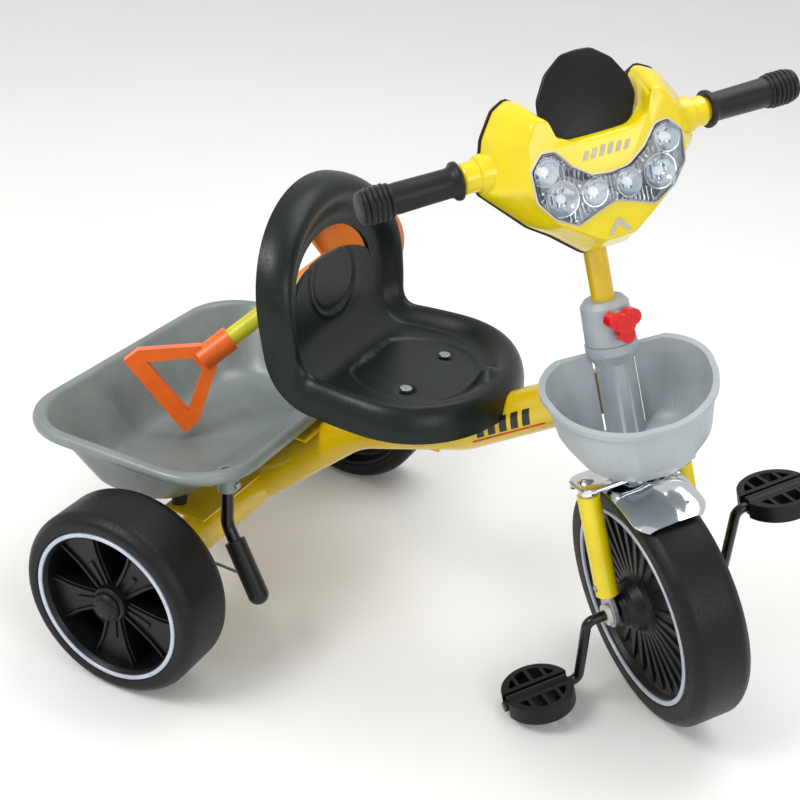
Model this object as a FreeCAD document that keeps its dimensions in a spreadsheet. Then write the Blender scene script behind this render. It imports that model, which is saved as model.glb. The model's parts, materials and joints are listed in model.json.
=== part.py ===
import FreeCAD, Part
import math
import os
import re
import Sketcher

# Child's tricycle with a tipping rear tub, a steering front basket and a toy shovel.
# World frame: +X forward, +Y to the rider's left, +Z up, floor at z = 0.
# Steered pieces are drawn in the fork frame: origin at the front hub, x forward across
# the steering axis, y to the left, z up along the steering axis.

Vector = FreeCAD.Vector
Rotation = FreeCAD.Rotation
Placement = FreeCAD.Placement

doc = FreeCAD.newDocument("tricycle")
sizes = doc.addObject("Spreadsheet::Sheet", "sizes")

driving = {
    # overall layout
    "rear_axle_x": -196,
    "wheelbase": 455,
    "track_half": 270,
    "rake": 19,
    "rest_steer": -44,
    "fit_gap": 0.08,
    "slip_gap": 0.4,
    # rear wheels
    "rear_radius": 98,
    "rear_width": 68,
    "rear_rim_radius": 80,
    "rear_ring_band": 4,
    "rear_spokes": 5,
    "rear_hub_radius": 17,
    "rear_cap_radius": 15,
    "rim_wall": 6,
    "tyre_shoulder": 14,
    # front wheel
    "front_radius": 125,
    "front_width": 60,
    "front_rim_radius": 101,
    "front_ring_band": 4,
    "front_hub_radius": 24,
    # axles, cranks and pedals
    "axle_diameter": 10,
    "nut_radius": 8,
    "crank_diameter": 10,
    "crank_throw": 76,
    "crank_offset": 75,
    "crank_splay": 11,
    "pedal_gap": 9,
    "crank_bend": 9,
    "pedal_length": 70,
    "pedal_radius": 37,
    "pedal_thickness": 17,
    # frame tubes
    "tube_diameter": 45,
    "tube_wall": 2,
    "tube_bend": 95,
    "head_diameter": 30.6,
    "head_wall": 1.7,
    "head_low": 150,
    "head_high": 261,
    "head_joint": 222,
    "gusset_width": 15,
    "gusset_height": 40,
    "gusset_reach": 47,
    "bush_flange": 3,
    # fork
    "steerer_diameter": 25,
    "steerer_top": 300,
    "crown_height": 137,
    "crown_thickness": 4,
    "crown_length": 46,
    "leg_offset": 49,
    "leg_diameter": 17,
    "leg_wall": 1.5,
    "cover_diameter": 22,
    "cover_low": 22,
    "cover_high": 128,
    "fork_end_thickness": 5,
    "fork_end_width": 28,
    "guard_gap": 5.5,
    "guard_thickness": 1.5,
    "guard_width": 74,
    "guard_back": 42,
    "guard_front": 34,
    # handlebar and stem
    "stem_diameter": 21,
    "stem_wall": 2,
    "stem_low": 190,
    "stem_top": 432,
    "bar_diameter": 22,
    "bar_half": 205,
    "bar_rise": 16,
    "bar_forward": 17,
    "grip_length": 88,
    "grip_diameter": 26,
    "grip_bulb": 31,
    # collar and knob
    "collar_diameter": 46,
    "collar_low": 266,
    "collar_high": 307,
    "knob_height": 290,
    "knob_radius": 9,
    "knob_lobe": 7.5,
    "knob_reach": 9.5,
    "knob_thickness": 13,
    "stud_diameter": 6,
    # front basket
    "basket_level": 243,
    "basket_depth": 74,
    "basket_length": 122,
    "basket_half": 75,
    "basket_back_half": 50,
    "basket_wall": 3,
    "basket_lip": 5,
    "basket_twist": -11,
    "column_wall": 2.6,
    # cowl
    "cowl_split": 12,
    "cowl_front": 58,
    "cowl_back": -24,
    "cowl_wall": 2.5,
    "lens_thickness": 4,
    "screen_thickness": 4,
    # seat
    "seat_x": 84,
    "seat_length": 200,
    "seat_half": 124,
    "seat_skirt": 14,
    "seat_level": 289,
    "seat_rim": 20,
    "seat_wall": 5,
    "seat_back_height": 178,
    "seat_lean": 9,
    "seat_bolt_half": 44,
    "seat_bolt_x": 190,
    # rear tub
    "tub_rim_level": 214,
    "tub_floor_level": 135,
    "tub_back": -172,
    "tub_front": 68,
    "tub_half": 187,
    "tub_corner": 64,
    "tub_wall": 3,
    "tub_lip": 7,
    "tub_lip_height": 12,
    "hinge_x": -105,
    "hinge_level": 121,
    "hinge_diameter": 8,
    "hinge_half": 62,
    # tipping lever
    "lever_x": 58,
    "lever_y": 150,
    "lever_diameter": 13,
    "lever_grip": 21,
    # toy shovel
    "shovel_shaft": 20,
    "shovel_width": 100,
}

for row, (name, value) in enumerate(driving.items(), start=1):
    sizes.set("A%d" % row, name)
    sizes.set("B%d" % row, str(value))
    sizes.setAlias("B%d" % row, name)
doc.recompute()

nodes = []


def bound(text):
    """Expression text with every driving dimension named in the sheet."""
    def in_sheet(word):
        return "sizes." + word.group() if word.group() in driving else word.group()
    return re.sub(r"[a-z][a-z_]+", in_sheet, str(text))


def num(text):
    return float(sizes.evalExpression(bound(text)))


def bind(item, prop, text):
    item.setExpression(prop, bound(text))


def keep(item, label, place=None):
    item.Label = label
    if place is not None:
        item.Placement = place
    nodes.append(item)
    return item


# ---------------------------------------------------------------- frames of reference

rear_x = num("rear_axle_x")
yaw = num("rest_steer")
rake = num("rake")


def front_hub_height():
    """Height at which the leaning front tyre just touches the floor."""
    shoulder = num("tyre_shoulder")
    lean = math.asin(math.sin(math.radians(abs(yaw))) * math.sin(math.radians(rake)))
    core = (num("front_radius") - shoulder) * math.cos(lean)
    side = (num("front_width / 2") - shoulder) * math.sin(lean)
    return core + side + shoulder


hub = Vector(rear_x + num("wheelbase"), 0, front_hub_height())
level_to_fork = Rotation(Vector(0, 1, 0), -rake)
axis = level_to_fork.multVec(Vector(0, 0, 1))


def world(x=0, y=0, z=0, turn=None):
    """Place measured from the point on the floor under the rear axle."""
    return Placement(Vector(rear_x + x, y, z), turn or Rotation())


def level(twist=0):
    """Place for a piece drawn upright beside the fork, then steered with it."""
    return Placement(hub, Rotation(axis, yaw + twist))


def fork(twist=0):
    return Placement(hub, Rotation(axis, yaw + twist).multiply(level_to_fork))


along_y = Rotation(Vector(1, 0, 0), -90)
along_x = Rotation(Vector(0, 1, 0), 90)


# ---------------------------------------------------------------- drawing helpers

def new_body(label, place=None):
    return keep(doc.addObject("PartDesign::Body", label), label, place)


def sketch(body, role, offset=0):
    item = body.newObject("Sketcher::SketchObject", body.Label + "_outline")
    plane = [feature for feature in body.Origin.OriginFeatures if feature.Role == role][0]
    item.AttachmentSupport = [(plane, "")]
    item.MapMode = "FlatFace"
    item.AttachmentOffset = Placement(Vector(0, 0, num(offset)), Rotation())
    bind(item, ".AttachmentOffset.Base.z", offset)
    return item


def polygon(item, points):
    corners = [Vector(num(x), num(y), 0) for x, y in points]
    first = item.GeometryCount
    count = len(corners)
    for index in range(count):
        item.addGeometry(Part.LineSegment(corners[index], corners[(index + 1) % count]), False)
    for index in range(count):
        following = first + (index + 1) % count
        item.addConstraint(Sketcher.Constraint("Coincident", first + index, 2, following, 1))
    for index, (x, y) in enumerate(points):
        for kind, value, text in (("DistanceX", corners[index].x, x), ("DistanceY", corners[index].y, y)):
            number = item.addConstraint(Sketcher.Constraint(kind, first + index, 1, value))
            bind(item, "Constraints[%d]" % number, text)


def circle(item, diameter, x=0, y=0):
    centre = Vector(num(x), num(y), 0)
    which = item.addGeometry(Part.Circle(centre, Vector(0, 0, 1), num(diameter) / 2), False)
    number = item.addConstraint(Sketcher.Constraint("Diameter", which, num(diameter)))
    bind(item, "Constraints[%d]" % number, diameter)
    for kind, value, text in (("DistanceX", centre.x, x), ("DistanceY", centre.y, y)):
        number = item.addConstraint(Sketcher.Constraint(kind, which, 3, value))
        bind(item, "Constraints[%d]" % number, text)


def revolve(body, item):
    feature = body.newObject("PartDesign::Revolution", body.Label + "_turned")
    feature.Profile = item
    feature.ReferenceAxis = (item, ["V_Axis"])
    feature.Angle = 360
    doc.recompute()
    return feature


def groove(body, item):
    feature = body.newObject("PartDesign::Groove", body.Label + "_groove")
    feature.Profile = item
    feature.ReferenceAxis = (item, ["V_Axis"])
    feature.Angle = 360
    doc.recompute()
    return feature


def pad(body, item, length, midplane=False, reverse=False):
    feature = body.newObject("PartDesign::Pad", body.Label + "_pad")
    feature.Profile = item
    feature.Midplane = midplane
    feature.Reversed = reverse
    bind(feature, "Length", length)
    doc.recompute()
    return feature


def pocket(body, item, length, midplane=False, reverse=False):
    before = body.Shape.Volume
    feature = body.newObject("PartDesign::Pocket", body.Label + "_pocket")
    feature.Profile = item
    feature.Midplane = midplane
    feature.Reversed = reverse
    bind(feature, "Length", length)
    doc.recompute()
    if body.Shape.Volume > before - 0.01:
        raise ValueError(body.Label + ": a pocket removed nothing")
    return feature


def polar(body, features, role, count):
    feature = body.newObject("PartDesign::PolarPattern", body.Label + "_polar")
    feature.Originals = features
    line = [part for part in body.Origin.OriginFeatures if part.Role == role][0]
    feature.Axis = (line, [""])
    feature.Angle = 360
    feature.Occurrences = int(num(count))
    body.Tip = feature
    doc.recompute()
    return feature


def fillet(body, base, radius, chosen):
    """Round the edges of the base feature for which chosen(edge) holds."""
    names = ["Edge%d" % (i + 1) for i, edge in enumerate(base.Shape.Edges) if chosen(edge)]
    feature = body.newObject("PartDesign::Fillet", body.Label + "_round")
    feature.Base = (base, names)
    bind(feature, "Radius", radius)
    doc.recompute()
    return feature


def turned(label, points, place=None):
    """Solid of revolution about Y from (radius, y) points."""
    body = new_body(label, place)
    outline = sketch(body, "XY_Plane")
    polygon(outline, points)
    revolve(body, outline)
    return body


def pipe(label, outer, inner, length, place, kept=True):
    """Straight tube along Z made of two primitives."""
    outside = doc.addObject("Part::Cylinder", label + "_outside")
    inside = doc.addObject("Part::Cylinder", label + "_inside")
    bind(outside, "Radius", "(%s) / 2" % outer)
    bind(inside, "Radius", "(%s) / 2" % inner)
    bind(outside, "Height", length)
    bind(inside, "Height", length)
    tube = doc.addObject("Part::Cut", label)
    tube.Base = outside
    tube.Tool = inside
    doc.recompute()
    tube.Placement = place
    if kept:
        keep(tube, label, place)
    return tube


def feature(label, shape, place=None):
    item = doc.addObject("Part::Feature", label)
    item.Shape = shape
    return keep(item, label, place or Placement())


def run(points, bend):
    """Path of straight runs joined by tangent arcs; bend is one radius or a list."""
    bends = bend if isinstance(bend, list) else [bend] * len(points)
    edges = []
    start = points[0]
    for index in range(1, len(points) - 1):
        corner = points[index]
        back = (points[index - 1] - corner).normalize()
        ahead = (points[index + 1] - corner).normalize()
        half = back.getAngle(ahead) / 2
        reach = bends[index] / math.tan(half)
        middle = (back + ahead).normalize()
        centre = corner + middle * (bends[index] / math.sin(half))
        enter = corner + back * reach
        leave = corner + ahead * reach
        edges.append(Part.LineSegment(start, enter).toShape())
        edges.append(Part.Arc(enter, centre - middle * bends[index], leave).toShape())
        start = leave
    edges.append(Part.LineSegment(start, points[-1]).toShape())
    return Part.Wire(edges)


def swept(path, diameter):
    first = path.Edges[0]
    start = first.valueAt(first.FirstParameter)
    section = Part.Wire(Part.makeCircle(diameter / 2, start, first.tangentAt(first.FirstParameter)))
    solid = path.makePipeShell([section], True, True)
    if abs(solid.Volume - path.Length * math.pi * diameter ** 2 / 4) > 0.02 * solid.Volume:
        raise ValueError("a swept rod has the wrong volume")
    return solid


def rod(diameter, start, end):
    line = end - start
    return Part.makeCylinder(diameter / 2, line.Length, start, line)


def closed(points):
    """Closed wire: each item is a corner, or an arc given as (through, to)."""
    edges = []
    here = points[0]
    for item in list(points[1:]) + [points[0]]:
        if isinstance(item, tuple):
            edges.append(Part.Arc(here, item[0], item[1]).toShape())
            here = item[1]
        elif (item - here).Length > 1e-6:
            edges.append(Part.LineSegment(here, item).toShape())
            here = item
    return Part.Wire(edges)


def slab(wire, thickness):
    return Part.Face(wire).extrude(thickness)


def loft(*wires):
    return Part.makeLoft(list(wires), True, True)


def joined(first, *others):
    return first.fuse(list(others)).removeSplitter()


# ---------------------------------------------------------------- frame

axle_level = num("rear_radius")
tube_radius = num("tube_diameter / 2")
inner_face = "track_half - rear_width"
axle_tube_half = inner_face + " - 5"

axle_tube = pipe("axle_tube", "tube_diameter", "tube_diameter - 2 * tube_wall", "2 * (%s)" % axle_tube_half,
                 world(0, -num(axle_tube_half), axle_level, along_y))
axle_core = rod(num("tube_diameter"), Vector(0, -400, axle_level), Vector(0, 400, axle_level))
axle_core.translate(Vector(rear_x, 0, 0))


def axis_point(distance):
    """World point on the steering axis, at a distance above the front hub."""
    return hub + axis * distance


head_foot = axis_point(num("head_low"))
head_core = rod(num("head_diameter"), head_foot, axis_point(num("head_high")))
main_end = axis_point(num("head_joint"))
seat_bend = Vector(rear_x + 118, 0, axle_level + 108)
front_bend = Vector(rear_x + 238, 0, axle_level + 146)
last_run = (main_end - front_bend).normalize()
main_stop = main_end - last_run * num("gusset_reach")
main_path = run([Vector(rear_x, 0, axle_level), seat_bend, front_bend, main_stop], num("tube_bend"))
main_solid = swept(main_path, num("tube_diameter"))
main_hollow = swept(main_path, num("tube_diameter - 2 * tube_wall"))
feature("main_tube", main_solid.cut(main_hollow).cut(axle_core))

pipe("head_tube", "head_diameter", "head_diameter - 2 * head_wall", "head_high - head_low",
     Placement(head_foot, level_to_fork))

# End plate and web that carry the head tube from the end of the main tube.
end_plate = rod(num("tube_diameter"), main_stop, main_stop + last_run * 3)
web_turn = Rotation(Vector(0, 0, 1), last_run)
web = Part.makeBox(num("gusset_height"), num("gusset_width"), num("gusset_reach - 3"))
web.translate(Vector(-num("gusset_height") / 2, -num("gusset_width") / 2, 0))
web.Placement = Placement(main_stop + last_run * 3, web_turn).multiply(web.Placement)
feature("head_gusset", joined(end_plate, web).cut(head_core))

bush_inner = "steerer_diameter / 2 + fit_gap"
head_bore = "head_diameter / 2 - head_wall"
lower_bush = [
    (bush_inner, "head_low - bush_flange"),
    ("head_diameter / 2", "head_low - bush_flange"),
    ("head_diameter / 2", "head_low"),
    (head_bore, "head_low"),
    (head_bore, "head_low + 14"),
    (bush_inner, "head_low + 14"),
]
upper_bush = [
    (bush_inner, "head_high - 14"),
    (head_bore, "head_high - 14"),
    (head_bore, "head_high"),
    ("head_diameter / 2", "head_high"),
    ("head_diameter / 2", "head_high + bush_flange"),
    (bush_inner, "head_high + bush_flange"),
]
upright = Rotation(Vector(1, 0, 0), 90)


def ring_solid(label, points):
    """Turned solid about Z in the fork frame, used inside a group."""
    body = doc.addObject("PartDesign::Body", label)
    body.Label = label
    outline = sketch(body, "XZ_Plane")
    polygon(outline, points)
    revolve(body, outline)
    return body


def group(label, parts, place=None):
    """Several separate solids that share one node."""
    item = doc.addObject("Part::Compound", label)
    item.Links = parts
    doc.recompute()
    return keep(item, label, place)


steady = Placement(hub, level_to_fork)
group("headset_bushes", [ring_solid("lower_bush", lower_bush), ring_solid("upper_bush", upper_bush)], steady)

# Saddle and plate that carry the seat.
main_core = main_solid.copy()
saddle_x = rear_x + num("seat_bolt_x")
plate_top = num("seat_level")
pedestal = Part.makeBox(56, 26, plate_top - 3 - 215, Vector(saddle_x - 28, -13, 215))
top_plate = Part.makeBox(64, num("2 * seat_bolt_half + 30"), 3,
                         Vector(saddle_x - 32, -num("seat_bolt_half + 15"), plate_top - 3))
seat_holes = [rod(6.5, Vector(saddle_x, side * num("seat_bolt_half"), plate_top - 5),
                  Vector(saddle_x, side * num("seat_bolt_half"), plate_top + 5)) for side in (-1, 1)]
feature("seat_bracket", joined(pedestal.cut(main_core), top_plate).cut(seat_holes))

# Straps that carry the tub: one across the axle tube, one across the main tube.
strap = Part.makeBox(50, 256, 2.5, Vector(rear_x - 35, -128, axle_level + tube_radius - 0.5))
wing_level = num("tub_rim_level") - 19
wings = Part.makeBox(22, 84, 2.5, Vector(rear_x + 60, -42, wing_level))
feature("tub_carrier", Part.makeCompound([strap.cut([axle_core, main_core]), wings.cut(main_core)]))

pad_top = num("tub_floor_level - slip_gap")
pad_foot = axle_level + tube_radius + 2
pad_x = rear_x - 26
rest_pads = [rod(16, Vector(pad_x, side * 112, pad_foot), Vector(pad_x, side * 112, pad_top)) for side in (-1, 1)]
feature("tub_rest_pads", Part.makeCompound(rest_pads))

# Hinge arms run back from the axle tube and hold the pin that the tub tips on.
hinge = Vector(rear_x + num("hinge_x"), 0, num("hinge_level"))
arms = []
for side in (-1, 1):
    low = side * num("hinge_half + 9") - 2.5
    arm = Part.makeBox(num("10 - hinge_x"), 5, 18, Vector(hinge.x - 10, low, hinge.z - 12))
    pin_hole = rod(num("hinge_diameter"), Vector(hinge.x, -200, hinge.z), Vector(hinge.x, 200, hinge.z))
    arms.append(arm.cut([axle_core, strap, pin_hole]))
feature("tub_hinge_arms", Part.makeCompound(arms))
pin_half = num("hinge_half + 15")
hinge_pin = pipe("tub_hinge_pin", "hinge_diameter", "hinge_diameter / 4", "2 * (hinge_half + 15)",
                 Placement(Vector(hinge.x, -pin_half, hinge.z), along_y))

# Rear axle, plastic plugs in the tube ends and a nut on each end.
axle_half = "track_half - 7"
axle = doc.addObject("Part::Cylinder", "rear_axle")
bind(axle, "Radius", "axle_diameter / 2")
bind(axle, "Height", "2 * (%s)" % axle_half)
keep(axle, "rear_axle", world(0, -num(axle_half), axle_level, along_y))

plug_outer = "tube_diameter / 2 - tube_wall"
plugs = []
nuts = []
for side in (-1, 1):
    end = "%d * (%s)" % (side, axle_tube_half)
    flange = "%d * (%s + 3)" % (side, axle_tube_half)
    inner = "%d * (%s - 22)" % (side, axle_tube_half)
    name = "right" if side < 0 else "left"
    plug = doc.addObject("PartDesign::Body", "axle_plug_" + name)
    outline = sketch(plug, "XY_Plane")
    polygon(outline, [
        ("axle_diameter / 2", inner), (plug_outer, inner), (plug_outer, end),
        ("tube_diameter / 2", end), ("tube_diameter / 2", flange), ("axle_diameter / 2", flange),
    ])
    revolve(plug, outline)
    plugs.append(plug)
    nut = doc.addObject("PartDesign::Body", "axle_nut_" + name)
    outline = sketch(nut, "XY_Plane")
    polygon(outline, [
        ("axle_diameter / 2", "%d * (track_half - 14)" % side), ("nut_radius", "%d * (track_half - 14)" % side),
        ("nut_radius", "%d * (track_half - 9)" % side), ("axle_diameter / 2", "%d * (track_half - 9)" % side),
    ])
    revolve(nut, outline)
    nuts.append(nut)
group("axle_plugs", plugs, world(0, 0, axle_level))
group("axle_nuts", nuts, world(0, 0, axle_level))

# Wire stop on the right of the axle tube that the lever grip hangs against.
wire_y = -num("lever_y")
wire_path = run([Vector(rear_x + tube_radius - 1, wire_y, axle_level - 3), Vector(rear_x + 46, wire_y, axle_level - 3),
                 Vector(rear_x + 70, wire_y + 6, axle_level - 9)], 18)
feature("lever_stop_wire", swept(wire_path, 3).cut(axle_core))


# ---------------------------------------------------------------- rear wheels

def rear_wheel(name, side):
    """Wheel drawn with its outer face at y = 0 and the axle side at +y, then placed."""
    turn = Rotation() if side < 0 else Rotation(Vector(0, 0, 1), 180)
    place = world(0, side * num("track_half"), axle_level, turn)
    tyre = new_body("rear_tyre_" + name, place)
    outline = sketch(tyre, "XY_Plane")
    polygon(outline, [
        ("rear_rim_radius", 1), ("rear_radius - 6", 0), ("rear_radius", 0),
        ("rear_radius", "rear_width"), ("rear_rim_radius", "rear_width"),
    ])
    solid = revolve(tyre, outline)
    rear_radius = num("rear_radius")

    def tread_edge(edge):
        return hasattr(edge.Curve, "Radius") and abs(edge.Curve.Radius - rear_radius) < 0.01
    fillet(tyre, solid, "tyre_shoulder", tread_edge)

    ring_inner = "rear_rim_radius - rear_ring_band"
    turned("rear_ring_" + name, [
        (ring_inner, 0.5), ("rear_rim_radius", 0.5), ("rear_rim_radius", 4), (ring_inner, 4),
    ], place)

    rim = new_body("rear_rim_" + name, place)
    outline = sketch(rim, "XY_Plane")
    bore = "axle_diameter / 2 + fit_gap"
    web_in = "rear_width - 22"
    web_out = "rear_width - 26"
    barrel = "rear_rim_radius - rim_wall"
    polygon(outline, [
        (bore, 16), ("nut_radius + 2", 16), ("nut_radius + 2", 6), ("rear_hub_radius", 6),
        ("rear_hub_radius", web_out), (barrel, web_out), (barrel, 4), ("rear_rim_radius", 4),
        ("rear_rim_radius", "rear_width - 2"), (barrel, "rear_width - 2"), (barrel, web_in),
        ("rear_hub_radius", web_in), ("rear_hub_radius", "rear_width"), (bore, "rear_width"),
    ])
    revolve(rim, outline)
    spoke = sketch(rim, "XZ_Plane", "-16")
    polygon(spoke, [
        (-9, "rear_hub_radius - 2"), (9, "rear_hub_radius - 2"), (11, "rear_rim_radius - 34"),
        (19, "rear_rim_radius - rim_wall - 2"), (-19, "rear_rim_radius - rim_wall - 2"),
        (-11, "rear_rim_radius - 34"),
    ])
    arm = pad(rim, spoke, "rear_width - 26 - 15", reverse=True)
    polar(rim, [arm], "Y_Axis", "rear_spokes")

    turned("rear_hub_cap_" + name, [
        (0, -3), ("rear_cap_radius - 5", -3), ("rear_cap_radius", 0), ("rear_cap_radius", 6),
        ("rear_cap_radius - 2.5", 6), ("rear_cap_radius - 2.5", 0), (0, 0),
    ], place)


rear_wheel("right", -1)
rear_wheel("left", 1)


# ---------------------------------------------------------------- front wheel, crank and pedals

half_width = num("front_width / 2")
front_tyre = new_body("front_tyre", fork())
outline = sketch(front_tyre, "XY_Plane")
polygon(outline, [
    ("front_rim_radius", "-front_width / 2 + 1"), ("front_radius - 6", "-front_width / 2"),
    ("front_radius", "-front_width / 2"), ("front_radius", "front_width / 2"),
    ("front_radius - 6", "front_width / 2"), ("front_rim_radius", "front_width / 2 - 1"),
])
tyre_solid = revolve(front_tyre, outline)
front_radius = num("front_radius")
fillet(front_tyre, tyre_solid, "tyre_shoulder",
       lambda edge: hasattr(edge.Curve, "Radius") and abs(edge.Curve.Radius - front_radius) < 0.01)

stripes = []
for side in (-1, 1):
    stripe = doc.addObject("PartDesign::Body", "front_ring_right" if side < 0 else "front_ring_left")
    outline = sketch(stripe, "XY_Plane")
    outer = "%d * (front_width / 2 - 0.5)" % side
    inner = "%d * (front_width / 2 - 4)" % side
    polygon(outline, [
        ("front_rim_radius - front_ring_band", outer), ("front_rim_radius", outer),
        ("front_rim_radius", inner), ("front_rim_radius - front_ring_band", inner),
    ])
    revolve(stripe, outline)
    stripes.append(stripe)
group("front_rings", stripes, fork())

front_rim = new_body("front_rim", fork())
outline = sketch(front_rim, "XY_Plane")
hub_half = "leg_offset - fork_end_thickness / 2 - 3"
crank_radius = "crank_diameter / 2"
barrel = "front_rim_radius - rim_wall"
web_face = "front_width / 2 - 12"
barrel_end = "front_width / 2 - 4"
polygon(outline, [
    (crank_radius, "-(%s)" % hub_half), ("front_hub_radius - 8", "-(%s)" % hub_half),
    ("front_hub_radius - 8", "-(%s) + 6" % hub_half), ("front_hub_radius", "-(%s) + 12" % hub_half),
    ("front_hub_radius", "-(%s)" % web_face), (barrel, "-(%s) - 2" % web_face),
    (barrel, "-(%s)" % barrel_end), ("front_rim_radius", "-(%s)" % barrel_end),
    ("front_rim_radius", barrel_end), (barrel, barrel_end), (barrel, "%s + 2" % web_face),
    ("front_hub_radius", web_face), ("front_hub_radius", "%s - 12" % hub_half),
    ("front_hub_radius - 8", "%s - 6" % hub_half), ("front_hub_radius - 8", hub_half),
    (crank_radius, hub_half),
])
revolve(front_rim, outline)
ribs = []
for side in (-1, 1):
    rib = sketch(front_rim, "XZ_Plane", "%d * (%s - 1)" % (-side, web_face))
    polygon(rib, [(-2.5, "front_hub_radius - 2"), (2.5, "front_hub_radius - 2"),
                  (2.5, "front_rim_radius - rim_wall + 1"), (-2.5, "front_rim_radius - rim_wall + 1")])
    ribs.append(pad(front_rim, rib, 5, reverse=side > 0))
polar(front_rim, ribs, "Y_Axis", "rear_spokes")

# One bent rod: right pedal spindle, right arm, axle through the hub, left arm, left spindle.
throw = num("crank_throw")
offset = num("crank_offset")
splay = num("crank_splay")
spindle_end = offset + splay + num("pedal_gap + pedal_length") + 3
crank_turn = Rotation(Vector(0, 1, 0), rake)
crank_points = [Vector(0, -spindle_end, -throw), Vector(0, -offset - splay, -throw), Vector(0, -offset, 0),
                Vector(0, offset, 0), Vector(0, offset + splay, throw), Vector(0, spindle_end, throw)]
crank_path = run(crank_points, num("crank_bend"))
feature("crank_axle", swept(crank_path, num("crank_diameter")), fork().multiply(Placement(Vector(), crank_turn)))


def pedal(name, side):
    """Round pedal of two treads on a central sleeve; the spindle runs along Y."""
    length = num("pedal_length")
    radius = num("pedal_radius")
    thick = num("pedal_thickness")
    bore = num("crank_diameter / 2 + fit_gap")
    slot = 7.5
    outer = closed([Vector(slot, -length / 2, 0), (Vector(radius, 0, 0), Vector(slot, length / 2, 0))])
    tread = slab(outer, Vector(0, 0, thick))
    tread.translate(Vector(0, 0, -thick / 2))
    hollow = closed([Vector(slot + 5, -length / 2 + 10, 0), (Vector(radius - 6, 0, 0), Vector(slot + 5, length / 2 - 10, 0))])
    well = slab(hollow, Vector(0, 0, thick))
    well.translate(Vector(0, 0, -thick / 2))
    bars = [Part.makeBox(radius, 4, thick, Vector(slot, y - 2, -thick / 2)) for y in (-15, 0, 15)]
    tread = tread.cut(well).fuse([bar.common(slab(outer, Vector(0, 0, thick)).translated(Vector(0, 0, -thick / 2)))
                                  for bar in bars])
    other = tread.copy()
    other.rotate(Vector(), Vector(0, 0, 1), 180)
    sleeve = rod(thick + 1, Vector(0, -length / 2 + 3, 0), Vector(0, length / 2 - 3, 0))
    whole = joined(sleeve, tread, other)
    whole = whole.cut(rod(2 * bore, Vector(0, -length, 0), Vector(0, length, 0)))
    reach = side * (offset + splay + num("pedal_gap") + length / 2)
    centre = Placement(Vector(0, reach, side * throw), Rotation(Vector(0, 1, 0), -14))
    feature("pedal_" + name, whole, fork().multiply(Placement(Vector(), crank_turn)).multiply(centre))


pedal("right", -1)
pedal("left", 1)


# ---------------------------------------------------------------- fork

steerer = pipe("steerer_tube", "steerer_diameter", "stem_diameter + 2 * fit_gap", "steerer_top - crown_height - crown_thickness",
     fork().multiply(Placement(Vector(0, 0, num("crown_height + crown_thickness")), Rotation())), kept=False)
drilled = doc.addObject("Part::Cut", "fork_steerer_drilled")
stud_drill = doc.addObject("Part::Cylinder", "steerer_drill")
bind(stud_drill, "Radius", "stud_diameter / 2 + slip_gap")
stud_drill.Height = 60
stud_drill.Placement = fork().multiply(Placement(Vector(0, 0, num("knob_height")), along_x))
drilled.Base = steerer
drilled.Tool = stud_drill
doc.recompute()
keep(drilled, "fork_steerer")

crown_z = num("crown_height")
leg_y = num("leg_offset")
crown_half = num("crown_length / 2")
crown_side = leg_y + num("leg_diameter / 2") + 3
crown_wire = closed([
    Vector(-crown_half, -crown_side + 12, crown_z), (Vector(0, -crown_side - 4, crown_z), Vector(crown_half, -crown_side + 12, crown_z)),
    Vector(crown_half, crown_side - 12, crown_z), (Vector(0, crown_side + 4, crown_z), Vector(-crown_half, crown_side - 12, crown_z)),
])
crown = slab(crown_wire, Vector(0, 0, num("crown_thickness")))
guard_inner = num("front_radius + guard_gap")
guard_outer = guard_inner + num("guard_thickness")
guard_half = num("guard_width / 2")


def arch(inner, outer, back, front, half):
    """Strip of a drum about the wheel axis, from back to front degrees off the top."""
    wire = closed([
        Vector(-inner * math.sin(back), -half, inner * math.cos(back)),
        (Vector(0, -half, inner), Vector(inner * math.sin(front), -half, inner * math.cos(front))),
        Vector(outer * math.sin(front), -half, outer * math.cos(front)),
        (Vector(0, -half, outer), Vector(-outer * math.sin(back), -half, outer * math.cos(back))),
    ])
    return slab(wire, Vector(0, 2 * half, 0))


guard = arch(guard_inner, guard_outer, math.radians(num("guard_back")), math.radians(num("guard_front")), guard_half)
block = Part.makeBox(30, 40, crown_z - guard_inner, Vector(-15, -20, guard_inner))
drum = rod(2 * guard_inner, Vector(0, -60, 0), Vector(0, 60, 0))
crown_bore = rod(num("stem_diameter"), Vector(0, 0, 100), Vector(0, 0, 160))
feature("fork_crown", joined(crown, guard, block.cut(drum)).cut(crown_bore), fork())

leg_low = num("cover_low + 14")
legs = [rod(num("leg_diameter"), Vector(0, side * leg_y, leg_low), Vector(0, side * leg_y, crown_z)).cut(
    rod(num("leg_diameter - 2 * leg_wall"), Vector(0, side * leg_y, leg_low - 1), Vector(0, side * leg_y, crown_z - 4)))
    for side in (-1, 1)]
feature("fork_legs", Part.makeCompound(legs), fork())

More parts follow.
